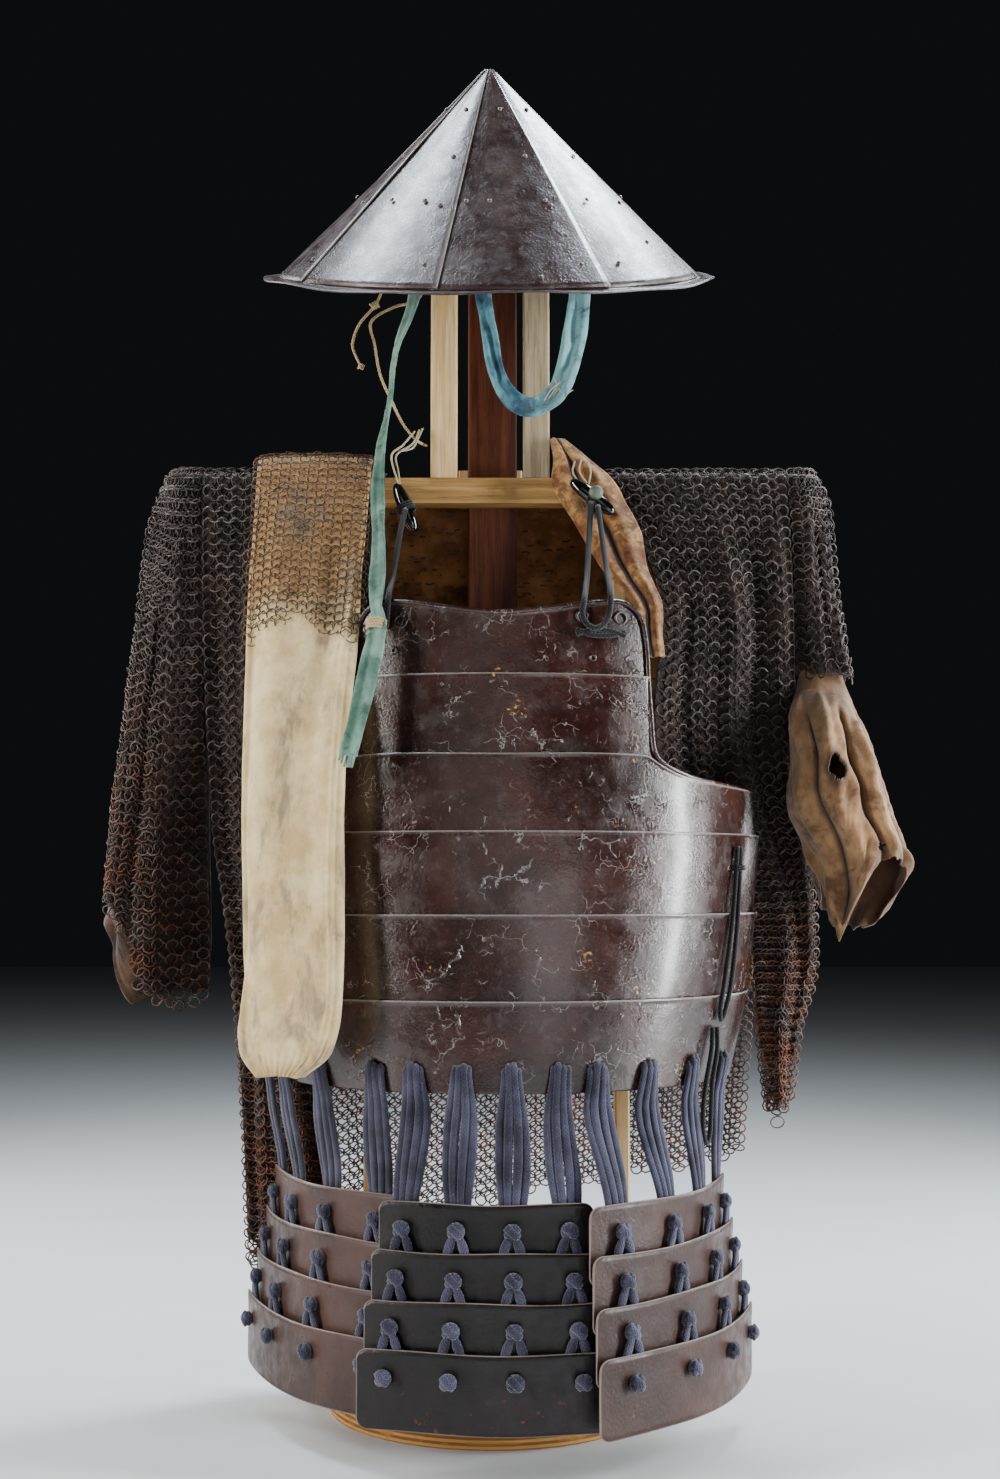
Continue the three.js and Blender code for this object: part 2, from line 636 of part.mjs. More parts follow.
function buildJacket() {
  add("jacket_back", bodyPanel(backRows, { bow: 58, neck: 42, stepsU: 14, stepsV: 12 }), mailFinish);
  const front = { bow: -5, forward: 1.8, stepsU: 7, stepsV: 13 };
  add("jacket_front_left", bodyPanel(leftFrontRows, front), mailFinish);
  add("jacket_front_right", bodyPanel(rightFrontRows, front), mailFinish);

  const mouth = (u) => column(leftMouth, "mail", u, "u");
  add("jacket_sleeve_left", sleeve(leftSide, mouth, 12), mailFinish);
  add("jacket_sleeve_right", sleeve(rightSide, () => 635, 9), mailFinish);

  const cuffTop = 40;
  const leftCuff = wall(
    (u, v) => {
      const share = lerp(0.06, 0.94, u);
      const low = column(leftMouth, "cuff", share, "u");
      const high = Math.max(column(leftMouth, "mail", share, "u"), low) + cuffTop;
      return sleevePoint(leftSide, share, lerp(high, low, v), 6);
    },
    14,
    3,
    cotton,
  );
  add("cuff_left", leftCuff, brownCloth);

  const rightCuff = wall(
    (u, v) => {
      const angle = 2 * Math.PI * u;
      const z = cuffLevel(v, column(rightHem, "z", u, "u"));
      const inner = column(rightCuffRows, "inner", z);
      const outer = column(rightCuffRows, "outer", z);
      const depth = column(rightCuffRows, "depth", z);
      const middle = (inner + outer) / 2;
      const half = (outer - inner) / 2;
      const y = column(rightCuffRows, "y", z) - depth * Math.sin(angle);
      return vec(middle - half * Math.cos(angle), y, z);
    },
    20,
    rightCuffSteps,
    cotton,
    { loop: true },
  );
  add("cuff_right", rightCuff, tanCloth);

  const collar = wall(
    (u, v) => {
      const z = lerp(857, 650, v);
      const x = lerp(column(collarRows, "low", z), column(collarRows, "high", z), u);
      return vec(x, column(collarRows, "y", z) - 3 * Math.sin(Math.PI * u), z);
    },
    4,
    12,
    cotton,
  );
  add("collar_right", collar, tanCloth);
}

// ---- sock: a flat cotton tube laid over the shoulder, with its toe in front ----

const cream = { color: 0xd9c8a0, roughness: 0.95, metalness: 0 };

// Stations along the sock from its mouth behind the shoulder to its toe.
const sockRows = [
  { s: 0, x: -160, y: 52, z: 788, width: 98, thick: 8, turn: 0 },
  { s: 0.05, x: -160, y: 38, z: 816, width: 100, thick: 8, turn: 0 },
  { s: 0.09, x: -160, y: 20, z: 834, width: 101, thick: 8, turn: 0 },
  { s: 0.13, x: -160, y: -2, z: 839, width: 101, thick: 8, turn: 0 },
  { s: 0.18, x: -160, y: -26, z: 827, width: 101, thick: 9, turn: 0 },
  { s: 0.3, x: -160, y: -72, z: 750, width: 98, thick: 14, turn: 6 },
  { s: 0.45, x: -160, y: -122, z: 655, width: 97, thick: 18, turn: 14 },
  { s: 0.6, x: -162, y: -156, z: 555, width: 93, thick: 20, turn: 22 },
  { s: 0.75, x: -160, y: -172, z: 452, width: 92, thick: 20, turn: 25 },
  { s: 0.88, x: -159, y: -181, z: 366, width: 89, thick: 20, turn: 25 },
  { s: 0.96, x: -162, y: -183, z: 322, width: 76, thick: 22, turn: 25 },
  { s: 1, x: -166, y: -182, z: 303, width: 38, thick: 16, turn: 25 },
];

function sockPoint(u, s) {
  const centre = (at) => {
    return vec(column(sockRows, "x", at, "s"), column(sockRows, "y", at, "s"), column(sockRows, "z", at, "s"));
  };
  const along = centre(Math.min(s + 0.01, 1)).sub(centre(Math.max(s - 0.01, 0))).normalize();
  const turn = degToRad(column(sockRows, "turn", s, "s"));
  const across = vec(Math.cos(turn), -Math.sin(turn), 0);
  const through = across.clone().cross(along).normalize();
  const angle = 2 * Math.PI * u;
  const half = column(sockRows, "width", s, "s") / 2;
  const deep = column(sockRows, "thick", s, "s") / 2;
  return centre(s)
    .addScaledVector(across, half * Math.cos(angle))
    .addScaledVector(through, deep * Math.sign(Math.sin(angle)) * Math.abs(Math.sin(angle)) ** 0.7);
}

function buildSock() {
  add("sock", wall(sockPoint, 14, 17, cotton, { loop: true, cap: true }), cream);
}

// ---- straps, toggles, cords and twine ----

const blueCloth = { color: 0x4f97a8, roughness: 0.9, metalness: 0 };
const greenCloth = { color: 0x7fae9d, roughness: 0.9, metalness: 0 };
const blackHorn = { color: 0x0d0d0e, roughness: 0.2, metalness: 0 };
const blackCord = { color: 0x1c2422, roughness: 0.8, metalness: 0 };
const tanTwine = { color: 0xb08a55, roughness: 0.9, metalness: 0 };

const chinStrap = [
  { x: -9, y: -58, z: 1030 },
  { x: -9, y: -60, z: 985 },
  { x: -2, y: -60, z: 940, turn: 25 },
  { x: 4, y: -60, z: 906 },
  { x: 18, y: -60, z: 881, turn: 20 },
  { x: 36, y: -60, z: 874 },
  { x: 55, y: -60, z: 885, turn: -20 },
  { x: 66, y: -60, z: 908 },
  { x: 74, y: -60, z: 945 },
  { x: 78, y: -60, z: 985 },
  { x: 77, y: -58, z: 1030 },
];
const longStrap = [
  { x: -64, y: -52, z: 1030 },
  { x: -70, y: -60, z: 970, turn: 20 },
  { x: -84, y: -66, z: 925, turn: 50 },
  { x: -90, y: -68, z: 875, turn: 70 },
  { x: -98, y: -66, z: 835, turn: 50 },
  { x: -100, y: -72, z: 800, turn: 20 },
  { x: -97, y: -96, z: 745, turn: 35 },
  { x: -96, y: -136, z: 690, turn: 20 },
  { x: -94, y: -156, z: 665, turn: 60 },
  { x: -100, y: -168, z: 630, turn: 10 },
  { x: -108, y: -178, z: 588, turn: 20 },
  { x: -117, y: -186, z: 548, turn: 30 },
];
const hatStrapEnd = [
  { x: -98, y: -62, z: 1020 },
  { x: -100, y: -66, z: 990 },
  { x: -112, y: -68, z: 980 },
  { x: -124, y: -64, z: 990 },
  { x: -126, y: -60, z: 1018 },
];

const toggleLeft = { from: [-86, -32, 812], to: [-69, -34, 768], thick: 14 };
const toggleRight = { from: [70, -40, 813], to: [108, -46, 782], thick: 14 };

// Cord routes, from the end that is held.
const twineFree = [
  [-92, -52, 1066],
  [-94, -54, 1030],
  [-97, -56, 985],
  [-104, -57, 967],
  [-118, -56, 950],
  [-124, -55, 932],
  [-121, -55, 922],
  [-116, -56, 912],
];
const twineHeld = [
  [-52, -30, 1080],
  [-56, -42, 1010],
  [-66, -50, 975],
  [-88, -54, 966],
  [-108, -50, 954],
  [-105, -46, 935],
  [-100, -44, 908],
  [-90, -42, 885],
  [-80, -32, 866],
  [-68, -14, 855],
  [-60, -4, 853],
];
const toggleCordLeft = [
  [-77, -44, 786],
  [-80, -62, 765],
  [-84, -104, 718],
  [-86, -139, 694],
  [-87, -140, 680],
  [-88, -140, 667],
];
const toggleCordRight = [
  [88, -56, 790],
  [82, -72, 762],
  [75, -110, 716],
  [69, -149, 690],
  [67, -153, 672],
  [73, -153, 661],
  [82, -150, 658],
  [91, -146, 662],
  [98, -144, 674],
  [101, -141, 694],
  [101, -104, 722],
  [98, -74, 762],
  [97, -60, 786],
];

// The side cords lie on the cuirass: angle round it, height, and how far they stand off its middle.
const sideCordHigh = [
  { angle: 60.6, z: 486, out: 7.2 },
  { angle: 60, z: 462, out: 7.6 },
  { angle: 60.2, z: 420, out: 7.4 },
  { angle: 59.8, z: 372, out: 7.4 },
  { angle: 58.6, z: 350, out: 7.4 },
  { angle: 57.2, z: 341, out: 7.4 },
  { angle: 56, z: 349, out: 7.4 },
  { angle: 56.4, z: 372, out: 7.4 },
  { angle: 57.6, z: 420, out: 7.4 },
  { angle: 58.2, z: 462, out: 7.6 },
  { angle: 59, z: 486, out: 7.2 },
];
const sideCordLow = [
  { angle: 56, z: 336, out: 6.6 },
  { angle: 56.4, z: 318, out: 9 },
  { angle: 56.4, z: 290, out: 9 },
  { angle: 56.4, z: 262, out: 9 },
  { angle: 55.8, z: 248, out: 9 },
  { angle: 54.4, z: 241, out: 9 },
  { angle: 53, z: 250, out: 9 },
  { angle: 52.8, z: 266, out: 9 },
  { angle: 53.4, z: 290, out: 9 },
  { angle: 53.8, z: 318, out: 9 },
  { angle: 54, z: 336, out: 6.6 },
];
const onCuirass = (route) => {
  return route.map(({ angle, z, out }) => cuirassPoint(degToRad(angle), z, out).toArray());
};

// A spindle between two points: round ends, thickest in the middle.
function toggle({ from, to, thick }) {
  const [a, b] = [vec(...from), vec(...to)];
  const length = a.distanceTo(b);
  const profile = [];
  for (let i = 0; i <= 8; i++) {
    const angle = (Math.PI * i) / 8;
    const round = Math.sin(angle) ** 0.7;
    profile.push(new THREE.Vector2((round * thick) / 2, (-Math.cos(angle) * length) / 2));
  }
  const spindle = new THREE.LatheGeometry(profile, 12);
  const turn = new THREE.Quaternion().setFromUnitVectors(vec(0, 1, 0), b.clone().sub(a).normalize());
  return spindle.applyQuaternion(turn).translate((a.x + b.x) / 2, (a.y + b.y) / 2, (a.z + b.z) / 2);
}

function buildTrimmings() {
  add("chin_strap", strap(chinStrap, 16, 3, 20), blueCloth);
  add("long_strap", strap(longStrap, 15, 2, 24), greenCloth);
  add("hat_strap_end", strap(hatStrapEnd, 10, 2, 10), blueCloth);
  add("toggle_left", toggle(toggleLeft), blackHorn);
  add("toggle_right", toggle(toggleRight), blackHorn);
  add("toggle_cord_left", cordTube(toggleCordLeft, 5, 10), blackCord);
  add("toggle_cord_right", cordTube(toggleCordRight, 5, 22), blackCord);
  add("side_cord_high", cordTube(onCuirass(sideCordHigh), 4, 22), blackCord);
  add("side_cord_low", cordTube(onCuirass(sideCordLow), 4, 16), blackCord);
  add("twine_free", cordTube(twineFree, 2.5, 14), tanTwine);
  add("twine_held", cordTube(twineHeld, 2.5, 20), tanTwine);
}

buildStand();
buildHat();
buildCuirass();
buildSkirt();
buildJacket();
buildSock();
buildTrimmings();

export default set;
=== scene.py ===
import math
from math import pi
import bpy
import numpy as np
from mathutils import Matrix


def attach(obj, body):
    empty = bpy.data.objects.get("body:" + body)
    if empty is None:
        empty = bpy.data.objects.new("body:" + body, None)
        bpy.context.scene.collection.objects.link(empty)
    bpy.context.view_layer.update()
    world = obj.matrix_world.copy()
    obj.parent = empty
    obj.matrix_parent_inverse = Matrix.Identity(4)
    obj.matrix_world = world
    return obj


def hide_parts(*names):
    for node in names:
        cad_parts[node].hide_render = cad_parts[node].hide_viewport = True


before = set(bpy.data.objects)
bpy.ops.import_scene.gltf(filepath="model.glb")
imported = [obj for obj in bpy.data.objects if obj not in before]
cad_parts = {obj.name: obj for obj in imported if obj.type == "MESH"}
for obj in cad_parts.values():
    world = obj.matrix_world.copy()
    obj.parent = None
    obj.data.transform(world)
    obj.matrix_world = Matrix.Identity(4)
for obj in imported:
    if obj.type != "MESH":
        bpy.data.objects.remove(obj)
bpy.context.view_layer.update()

mm = 0.001
rng = np.random.default_rng(7)


# numbers and grids (tables and grids are in millimetres, meshes in metres)

def table(names, rows):
    return dict(zip(names.split(), np.array(rows, float).T))


def column(rows, key, at, by="z"):  # cubic through the rows of a table, level past its ends
    order = np.argsort(rows[by])
    x, y = rows[by][order], rows[key][order]
    place = np.clip(at, x[0], x[-1])
    i = np.clip(np.searchsorted(x, place, "right") - 1, 0, len(x) - 2)
    slope = np.gradient(y) / np.gradient(x)
    span, rise = x[i + 1] - x[i], y[i + 1] - y[i]
    t = (place - x[i]) / span
    bend = (1 - t) * (slope[i] * span - rise) - t * (slope[i + 1] * span - rise)
    return y[i] + t * rise + t * (1 - t) * bend


def unit(vectors):
    return vectors / np.maximum(np.linalg.norm(vectors, axis=-1, keepdims=True), 1e-9)


def stack(x, y, z):
    return np.stack(np.broadcast_arrays(x, y, z), -1).astype(float)


def grid(across, along):  # u runs along the columns, v along the rows
    return np.meshgrid(np.linspace(0, 1, across), np.linspace(0, 1, along))


def soft(value, start, end):  # smooth step from 0 to 1 between start and end
    t = np.clip((value - start) / (end - start), 0, 1)
    return t * t * (3 - 2 * t)


def outward(points, loop=False):  # unit normals of a grid, along u crossed with along v
    if loop:
        alongU = np.roll(points, -1, 1) - np.roll(points, 1, 1)
    else:
        alongU = np.gradient(points, axis=1)
    return unit(np.cross(alongU, np.gradient(points, axis=0)))


# Folds in a cloth: each row is a ridge (or a trough, below 0) of depth mm at u, as wide as width,
# leaning by lean over the length, and running from start to end of it.
def folds(u, v, rows, wander=0.006, fade=0.06):
    total = np.zeros_like(u)
    for at, width, depth, lean, start, end in rows:
        centre = at + lean * (v - 0.5) + wander * np.sin(23 * v + 40 * at)
        ends = soft(v, start - fade, start + fade) * (1 - soft(v, end - fade, end + fade))
        total += depth * np.exp(-(((u - centre) / width) ** 2)) * ends
    return total


def ripple(a, b, scale, seed, waves=7, finer=1.35, height=0.6):  # sums of sines, a crumple of about 1 mm
    total = np.zeros_like(a)
    local = np.random.default_rng(seed)
    for k in range(waves):
        turn = local.uniform(0, pi)
        rate = scale * finer ** k
        total += np.sin(rate * (a * math.cos(turn) + b * math.sin(turn)) + local.uniform(0, 6)) / (1 + k)
    return total * height


def flatSize(points):  # mean width and length of a grid, in metres
    width = np.linalg.norm(np.diff(points, axis=1), axis=-1).sum(1).mean()
    length = np.linalg.norm(np.diff(points, axis=0), axis=-1).sum(0).mean()
    return (round(width * mm, 3), round(length * mm, 3))


def smooth(route, steps):  # a curve through the points of a route
    route = np.array(route, float)
    place = np.r_[0, np.cumsum(np.linalg.norm(np.diff(route, axis=0), axis=1))]
    rows = {"s": place, "x": route[:, 0], "y": route[:, 1], "z": route[:, 2]}
    at = np.linspace(0, place[-1], steps)
    return np.stack([column(rows, key, at, "s") for key in "xyz"], -1)


def curveLength(points):
    return float(np.linalg.norm(np.diff(points, axis=0), axis=1).sum())


# meshes

def makeMesh(name, points, faces, material, slot, nodes=(), uv=None, values=None):
    mesh = bpy.data.meshes.new(name)
    faces = np.asarray(faces)
    mesh.vertices.add(len(points))
    mesh.vertices.foreach_set("co", (np.asarray(points) * mm).ravel())
    sides = faces.shape[1]
    mesh.loops.add(faces.size)
    mesh.loops.foreach_set("vertex_index", faces.ravel().astype(np.int32))
    mesh.polygons.add(len(faces))
    mesh.polygons.foreach_set("loop_start", np.arange(0, faces.size, sides, dtype=np.int32))
    mesh.polygons.foreach_set("use_smooth", np.ones(len(faces), bool))
    mesh.update(calc_edges=True)
    if uv is not None:
        layer = mesh.uv_layers.new(name="flat")
        layer.data.foreach_set("uv", (uv[faces.ravel()] * mm).ravel())
    for key, value in (values or {}).items():
        attribute = mesh.attributes.new(key, "FLOAT", "POINT")
        attribute.data.foreach_set("value", np.asarray(value, np.float32).ravel())
    mesh.validate()
    mesh.materials.append(material)
    obj = bpy.data.objects.new(name, mesh)
    bpy.context.collection.objects.link(obj)
    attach(obj, "root")
    if nodes:
        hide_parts(*nodes)
    return obj


def quads(rows, columns, loop=False):
    i = np.arange(columns if loop else columns - 1)
    j = np.arange(rows - 1)[:, None] * columns
    a, b = j + i, j + (i + 1) % columns
    return np.stack([a, b, b + columns, a + columns], -1).reshape(-1, 4)


# A thin wall on a grid of middle points. keep says which of its faces are there, cap closes its end.
def shell(name, points, thickness, material, slot, nodes=(), loop=False, cap=False, keep=None,
          values=None):
    rows, columns = points.shape[:2]
    faces = quads(rows, columns, loop)
    if keep is not None:
        faces = faces[keep[: rows - 1, : columns if loop else columns - 1].ravel()]
    flat = points.reshape(-1, 3)
    width = np.linalg.norm(np.diff(points, axis=1, append=points[:, -1:]), axis=-1).mean(0)
    length = np.linalg.norm(np.diff(points, axis=0, append=points[-1:]), axis=-1).mean(1)
    uv = np.stack(np.meshgrid(np.cumsum(width), np.cumsum(length)), -1).reshape(-1, 2)
    if cap:
        ring = np.arange((rows - 1) * columns, rows * columns)
        flat = np.vstack([flat, points[-1].mean(0)])
        uv = np.vstack([uv, uv[-1]])
        ends = np.stack([ring, np.roll(ring, -1), np.full(columns, len(flat) - 1)], -1)
        faces = np.vstack([faces, np.column_stack([ends, ends[:, 2]])])
    used = np.unique(faces)
    order = np.zeros(len(flat), int)
    order[used] = np.arange(len(used))
    picked = {key: np.resize(value.ravel(), len(flat))[used] for key, value in (values or {}).items()}
    build = mixedMesh if cap else makeMesh
    obj = build(name, flat[used], order[faces], material, slot, nodes, uv[used], picked)
    thicken(obj, thickness)
    return obj


def thicken(obj, thickness):
    wall = obj.modifiers.new("wall", "SOLIDIFY")
    wall.thickness = thickness * mm
    wall.offset = 0


def mixedMesh(name, points, faces, material, slot, nodes, uv, values):  # quads, and triangles at a cap
    triangle = faces[:, 2] == faces[:, 3]
    three = faces[triangle][:, :3]
    four = faces[~triangle]
    split = np.vstack([four[:, [0, 1, 2]], four[:, [0, 2, 3]], three])
    return makeMesh(name, points, split, material, slot, nodes, uv, values)


def closedTubes(count, steps, sides):  # triangles of tubes with flat ends, each of steps rings of points
    four = quads(steps, sides, True)
    fan = np.arange(1, sides - 1)
    end = np.stack([0 * fan, fan, fan + 1], -1)
    each = steps * sides
    one = np.vstack([four[:, [0, 1, 2]], four[:, [0, 2, 3]], end[:, ::-1], end + each - sides])
    return (one + (np.arange(count) * each)[:, None, None]).reshape(-1, 3)


# Bands with an oval section along many routes at once: routes and across are (bands, steps, 3).
def bands(name, routes, across, halfWidth, halfDepth, sides, material, slot, nodes=()):
    routes, across = np.asarray(routes, float), unit(np.asarray(across, float))
    count, steps = routes.shape[:2]
    along = unit(np.gradient(routes, axis=1))
    through = unit(np.cross(along, across))
    across = unit(np.cross(through, along))
    angle = np.linspace(0, 2 * pi, sides, endpoint=False)
    halfWidth = np.broadcast_to(halfWidth, (count, steps))[..., None, None]
    halfDepth = np.broadcast_to(halfDepth, (count, steps))[..., None, None]
    ring = (np.cos(angle)[:, None] * across[:, :, None] * halfWidth
            + np.sin(angle)[:, None] * through[:, :, None] * halfDepth)
    points = (routes[:, :, None] + ring).reshape(-1, 3)
    distance = np.linalg.norm(np.diff(routes, axis=1, prepend=routes[:, :1]), axis=-1).cumsum(1)
    around = angle * halfWidth[..., 0, 0].mean()
    uv = np.stack(np.broadcast_arrays(around, distance[..., None]), -1)
    extra = {"pick": np.repeat(np.linspace(0, 1, count), steps * sides)}
    faces = closedTubes(count, steps, sides)[:, ::-1]
    return makeMesh(name, points, faces, material, slot, nodes, uv.reshape(-1, 2), extra)


# Closed rings at centres: each lies along `right` and `down`, tipped by tip radians out of the cloth.
def rings(name, centres, right, down, tip, radius, wire, material, slot, values=None, sides=3, parts=9):
    normal = unit(np.cross(right, down))
    right = unit(right)
    down = unit(np.cross(normal, right))
    tip = np.broadcast_to(tip, len(centres))[:, None]
    down, normal = down * np.cos(tip) + normal * np.sin(tip), normal * np.cos(tip) - down * np.sin(tip)
    a = np.linspace(0, 2 * pi, parts, endpoint=False)[None, :, None, None]
    b = np.linspace(0, 2 * pi, sides, endpoint=False)[None, None, :, None]
    x, y, n = right[:, None, None], down[:, None, None], normal[:, None, None]
    size = np.broadcast_to(radius, len(centres))[:, None, None, None]
    points = (centres[:, None, None] + (size + wire * np.cos(b)) * (np.cos(a) * x + np.sin(a) * y)
              + wire * np.sin(b) * n)
    i = np.arange(parts)[:, None]
    j = np.arange(sides)[None]
    corner = lambda p, q: ((p % parts) * sides + q % sides).ravel()
    face = np.stack([corner(i, j), corner(i + 1, j), corner(i + 1, j + 1), corner(i, j + 1)], -1)
    faces = (face + (np.arange(len(centres)) * parts * sides)[:, None, None]).reshape(-1, 4)
    each = parts * sides
    extra = {"pick": np.repeat(rng.random(len(centres)), each)}
    extra.update({key: np.repeat(value, each) for key, value in (values or {}).items()})
    return makeMesh(name, points.reshape(-1, 3), faces, material, slot, (), None, extra)


# Places for rings on a grid of points: even steps along its mean width and length, staggered.
def ringPlaces(points, pitch, rowPitch, margin=0):
    rows, columns = points.shape[:2]
    length = np.r_[0, np.linalg.norm(np.diff(points, axis=0), axis=-1).mean(1).cumsum()]
    width = np.r_[0, np.linalg.norm(np.diff(points, axis=1), axis=-1).mean(0).cumsum()]
    down = np.arange(margin, length[-1] - margin, rowPitch)
    right = np.arange(pitch / 2, width[-1] - pitch / 2, pitch)
    row = np.arange(len(down))
    v = np.interp(np.repeat(down[:, None], len(right), 1), length, np.arange(rows))
    u = np.interp(right[None] + (row % 2)[:, None] * pitch / 2, width, np.arange(columns))
    return u, v, np.broadcast_to((row % 2)[:, None], u.shape)


# how far rings lie off their places: mm, share, and radians for the row's tip and its sway
ringLoose = {"shift": 0.22, "turn": 0.05, "tip": 0.42, "sway": 0.1}


def sample(values, u, v):  # bilinear reading of a grid at fractional columns u and rows v
    i = np.clip(u.astype(int), 0, values.shape[1] - 2)
    j = np.clip(v.astype(int), 0, values.shape[0] - 2)
    a, b = (u - i)[..., None], (v - j)[..., None]
    top = values[j, i] * (1 - a) + values[j, i + 1] * a
    low = values[j + 1, i] * (1 - a) + values[j + 1, i + 1] * a
    return top * (1 - b) + low * b


# Rings all over a grid of points. show says which stay, rust says how rusty they are down the grid.
def mailOn(name, points, away, size, material, slot, show, rust=None, seed=1):
    local = np.random.default_rng(seed)
    rows, columns = points.shape[:2]
    u, v, odd = ringPlaces(points, size["pitch"], size["row"])
    keep = show(u / (columns - 1), v / (rows - 1))
    u, v, odd = u[keep], v[keep], odd[keep]
    normal = sample(facing(points, away), u, v)
    centres = sample(points, u, v) + normal * size["lift"]
    centres = centres + local.normal(0, ringLoose["shift"], (len(u), 3))
    down = sample(points, u, np.minimum(v + 0.5, rows - 1.01)) - sample(points, u, v)
    down = unit(down) + local.normal(0, ringLoose["turn"], down.shape)
    tip = np.where(odd > 0, 1, -1) * ringLoose["tip"] + local.normal(0, ringLoose["sway"], len(u))
    values = {"rust": rust(v / (rows - 1)) if rust else 0 * u}
    return rings(name, centres, np.cross(down, normal), down, tip, size["radius"], size["wire"], material,
                 slot, values)


def facing(points, away):  # normals of a grid that point along `away` on the whole
    normals = outward(points)
    return normals * np.sign((normals * away).sum(-1).mean())


# Prints a line with a sheet's name and its flat size.
def hang(name, points):
    print("sheet", name, flatSize(points), flush=True)


print("helpers ready", flush=True)


# materials

def toLinear(code):
    channels = [int(code[i:i + 2], 16) / 255 for i in (1, 3, 5)]
    return [c / 12.92 if c <= 0.04045 else ((c + 0.055) / 1.055) ** 2.4 for c in channels] + [1.0]


def node(tree, kind, inputs=None, **settings):
    made = tree.nodes.new("ShaderNode" + kind)
    for key, value in settings.items():
        setattr(made, key, value)
    for key, value in (inputs or {}).items():
        if isinstance(value, bpy.types.NodeSocket):
            tree.links.new(value, made.inputs[key])
        elif isinstance(value, str):
            made.inputs[key].default_value = toLinear(value)
        else:
            made.inputs[key].default_value = value
    return made


def combine(tree, kind, a, b=0.0):
    return node(tree, "Math", {0: a, 1: b}, operation=kind).outputs[0]


def ramp(tree, value, low, high):  # 0 at low, 1 at high
    made = node(tree, "MapRange", {0: value, 1: low, 2: high}, clamp=True,
                interpolation_type="SMOOTHSTEP")
    return made.outputs[0]


def mix(tree, share, a, b):
    return node(tree, "Mix", {0: share, 6: a, 7: b}, data_type="RGBA").outputs[2]


def noise(tree, where, size, detail=4.0, rough=0.55, warp=0.0):  # size in mm
    made = node(tree, "TexNoise", {"Vector": where, "Scale": 1 / (size * mm), "Detail": detail,
                                   "Roughness": rough, "Distortion": warp})
    return made.outputs[0]


def value(tree, name):  # an attribute of the mesh
    return node(tree, "Attribute", attribute_name=name).outputs["Fac"]


def place(tree, scale=(1, 1, 1), surface=False):  # object coordinates, or the piece's own flat map
    made = node(tree, "TexCoord").outputs["UV" if surface else "Object"]
    return node(tree, "Mapping", {"Vector": made, "Scale": scale}).outputs[0]


def bump(tree, height, depth, before=None):  # depth in mm
    inputs = {"Height": height, "Distance": depth * mm, "Strength": 1.0}
    if before is not None:
        inputs["Normal"] = before
    return node(tree, "Bump", inputs).outputs[0]


def finish(name, build, **constants):
    made = bpy.data.materials.new(name)
    made.use_nodes = True
    tree = made.node_tree
    shader = tree.nodes["Principled BSDF"]
    linked = build(tree)
    for key, item in {**constants, **linked}.items():
        socket = shader.inputs[key.replace("_", " ")]
        if isinstance(item, bpy.types.NodeSocket):
            tree.links.new(item, socket)
        elif isinstance(item, str):
            socket.default_value = toLinear(item)
        else:
            socket.default_value = item
    return made


def times(tree, a, b):
    return combine(tree, "MULTIPLY", a, b)


def patches(tree, where, look):  # look is a noise's size, detail and roughness, then its low and high
    size, detail, rough, low, high = look
    return ramp(tree, noise(tree, where, size, detail, rough), low, high)


def tinted(tree, colour, mask, share, tint):
    return mix(tree, times(tree, mask, share), colour, tint)


def stains(tree, where, colour, rows):  # each row is a look of patches, then its share and its tint
    for *look, share, tint in rows:
        colour = tinted(tree, colour, patches(tree, where, look), share, tint)
    return colour


def wave(tree, flat, pitch, way, bend):  # bands pitch mm apart on the flat map
    bandScale = 0.31  # a wave texture of scale 1 has its bands this far apart
    made = node(tree, "TexWave", {"Vector": flat, "Scale": bandScale / (pitch * mm), "Distortion": bend},
                bands_direction=way)
    return made.outputs[1]


# worn lacquer over iron: brown with fine pits; its blue-white patches are painted sheen, and the pale line
# along each plate's later edge is a painted highlight
hatLook = {
    "base": "#35211f",
    # the second stain, blue-white, is painted sheen
    "stains": [(46, 6, 0.62, 0.42, 0.66, 1, "#4f3e3b"), (9, 5, 0.7, 0.5, 0.75, 0.28, "#8f979f"),
               (2.2, 3, 0.6, 0.64, 0.7, 1, "#1d1413")],
    "edge": (0.7, "#a8a29b"), "dull": (14, 5, 0.55, -0.1, 1.35),
    "dents": (30, 1.6), "pits": (2.2, 0.7)}  # size and depth in mm


def hatIron(tree):
    where = place(tree)
    colour = stains(tree, where, hatLook["base"], hatLook["stains"])
    dentSize, dentDepth = hatLook["dents"]
    pitSize, pitDepth = hatLook["pits"]
    dent = bump(tree, noise(tree, where, dentSize, 2), dentDepth)
    # the pale tint along each plate's later edge (edge) is a painted highlight
    return {"Base_Color": tinted(tree, colour, value(tree, "edge"), *hatLook["edge"]),
            "Roughness": patches(tree, where, hatLook["dull"]),
            "Normal": bump(tree, noise(tree, where, pitSize, 3, 0.6), pitDepth, dent)}


hatLacquer = finish("brown lacquer on iron", hatIron, Metallic=0.2, Coat_Weight=0.5, Coat_Roughness=0.3)
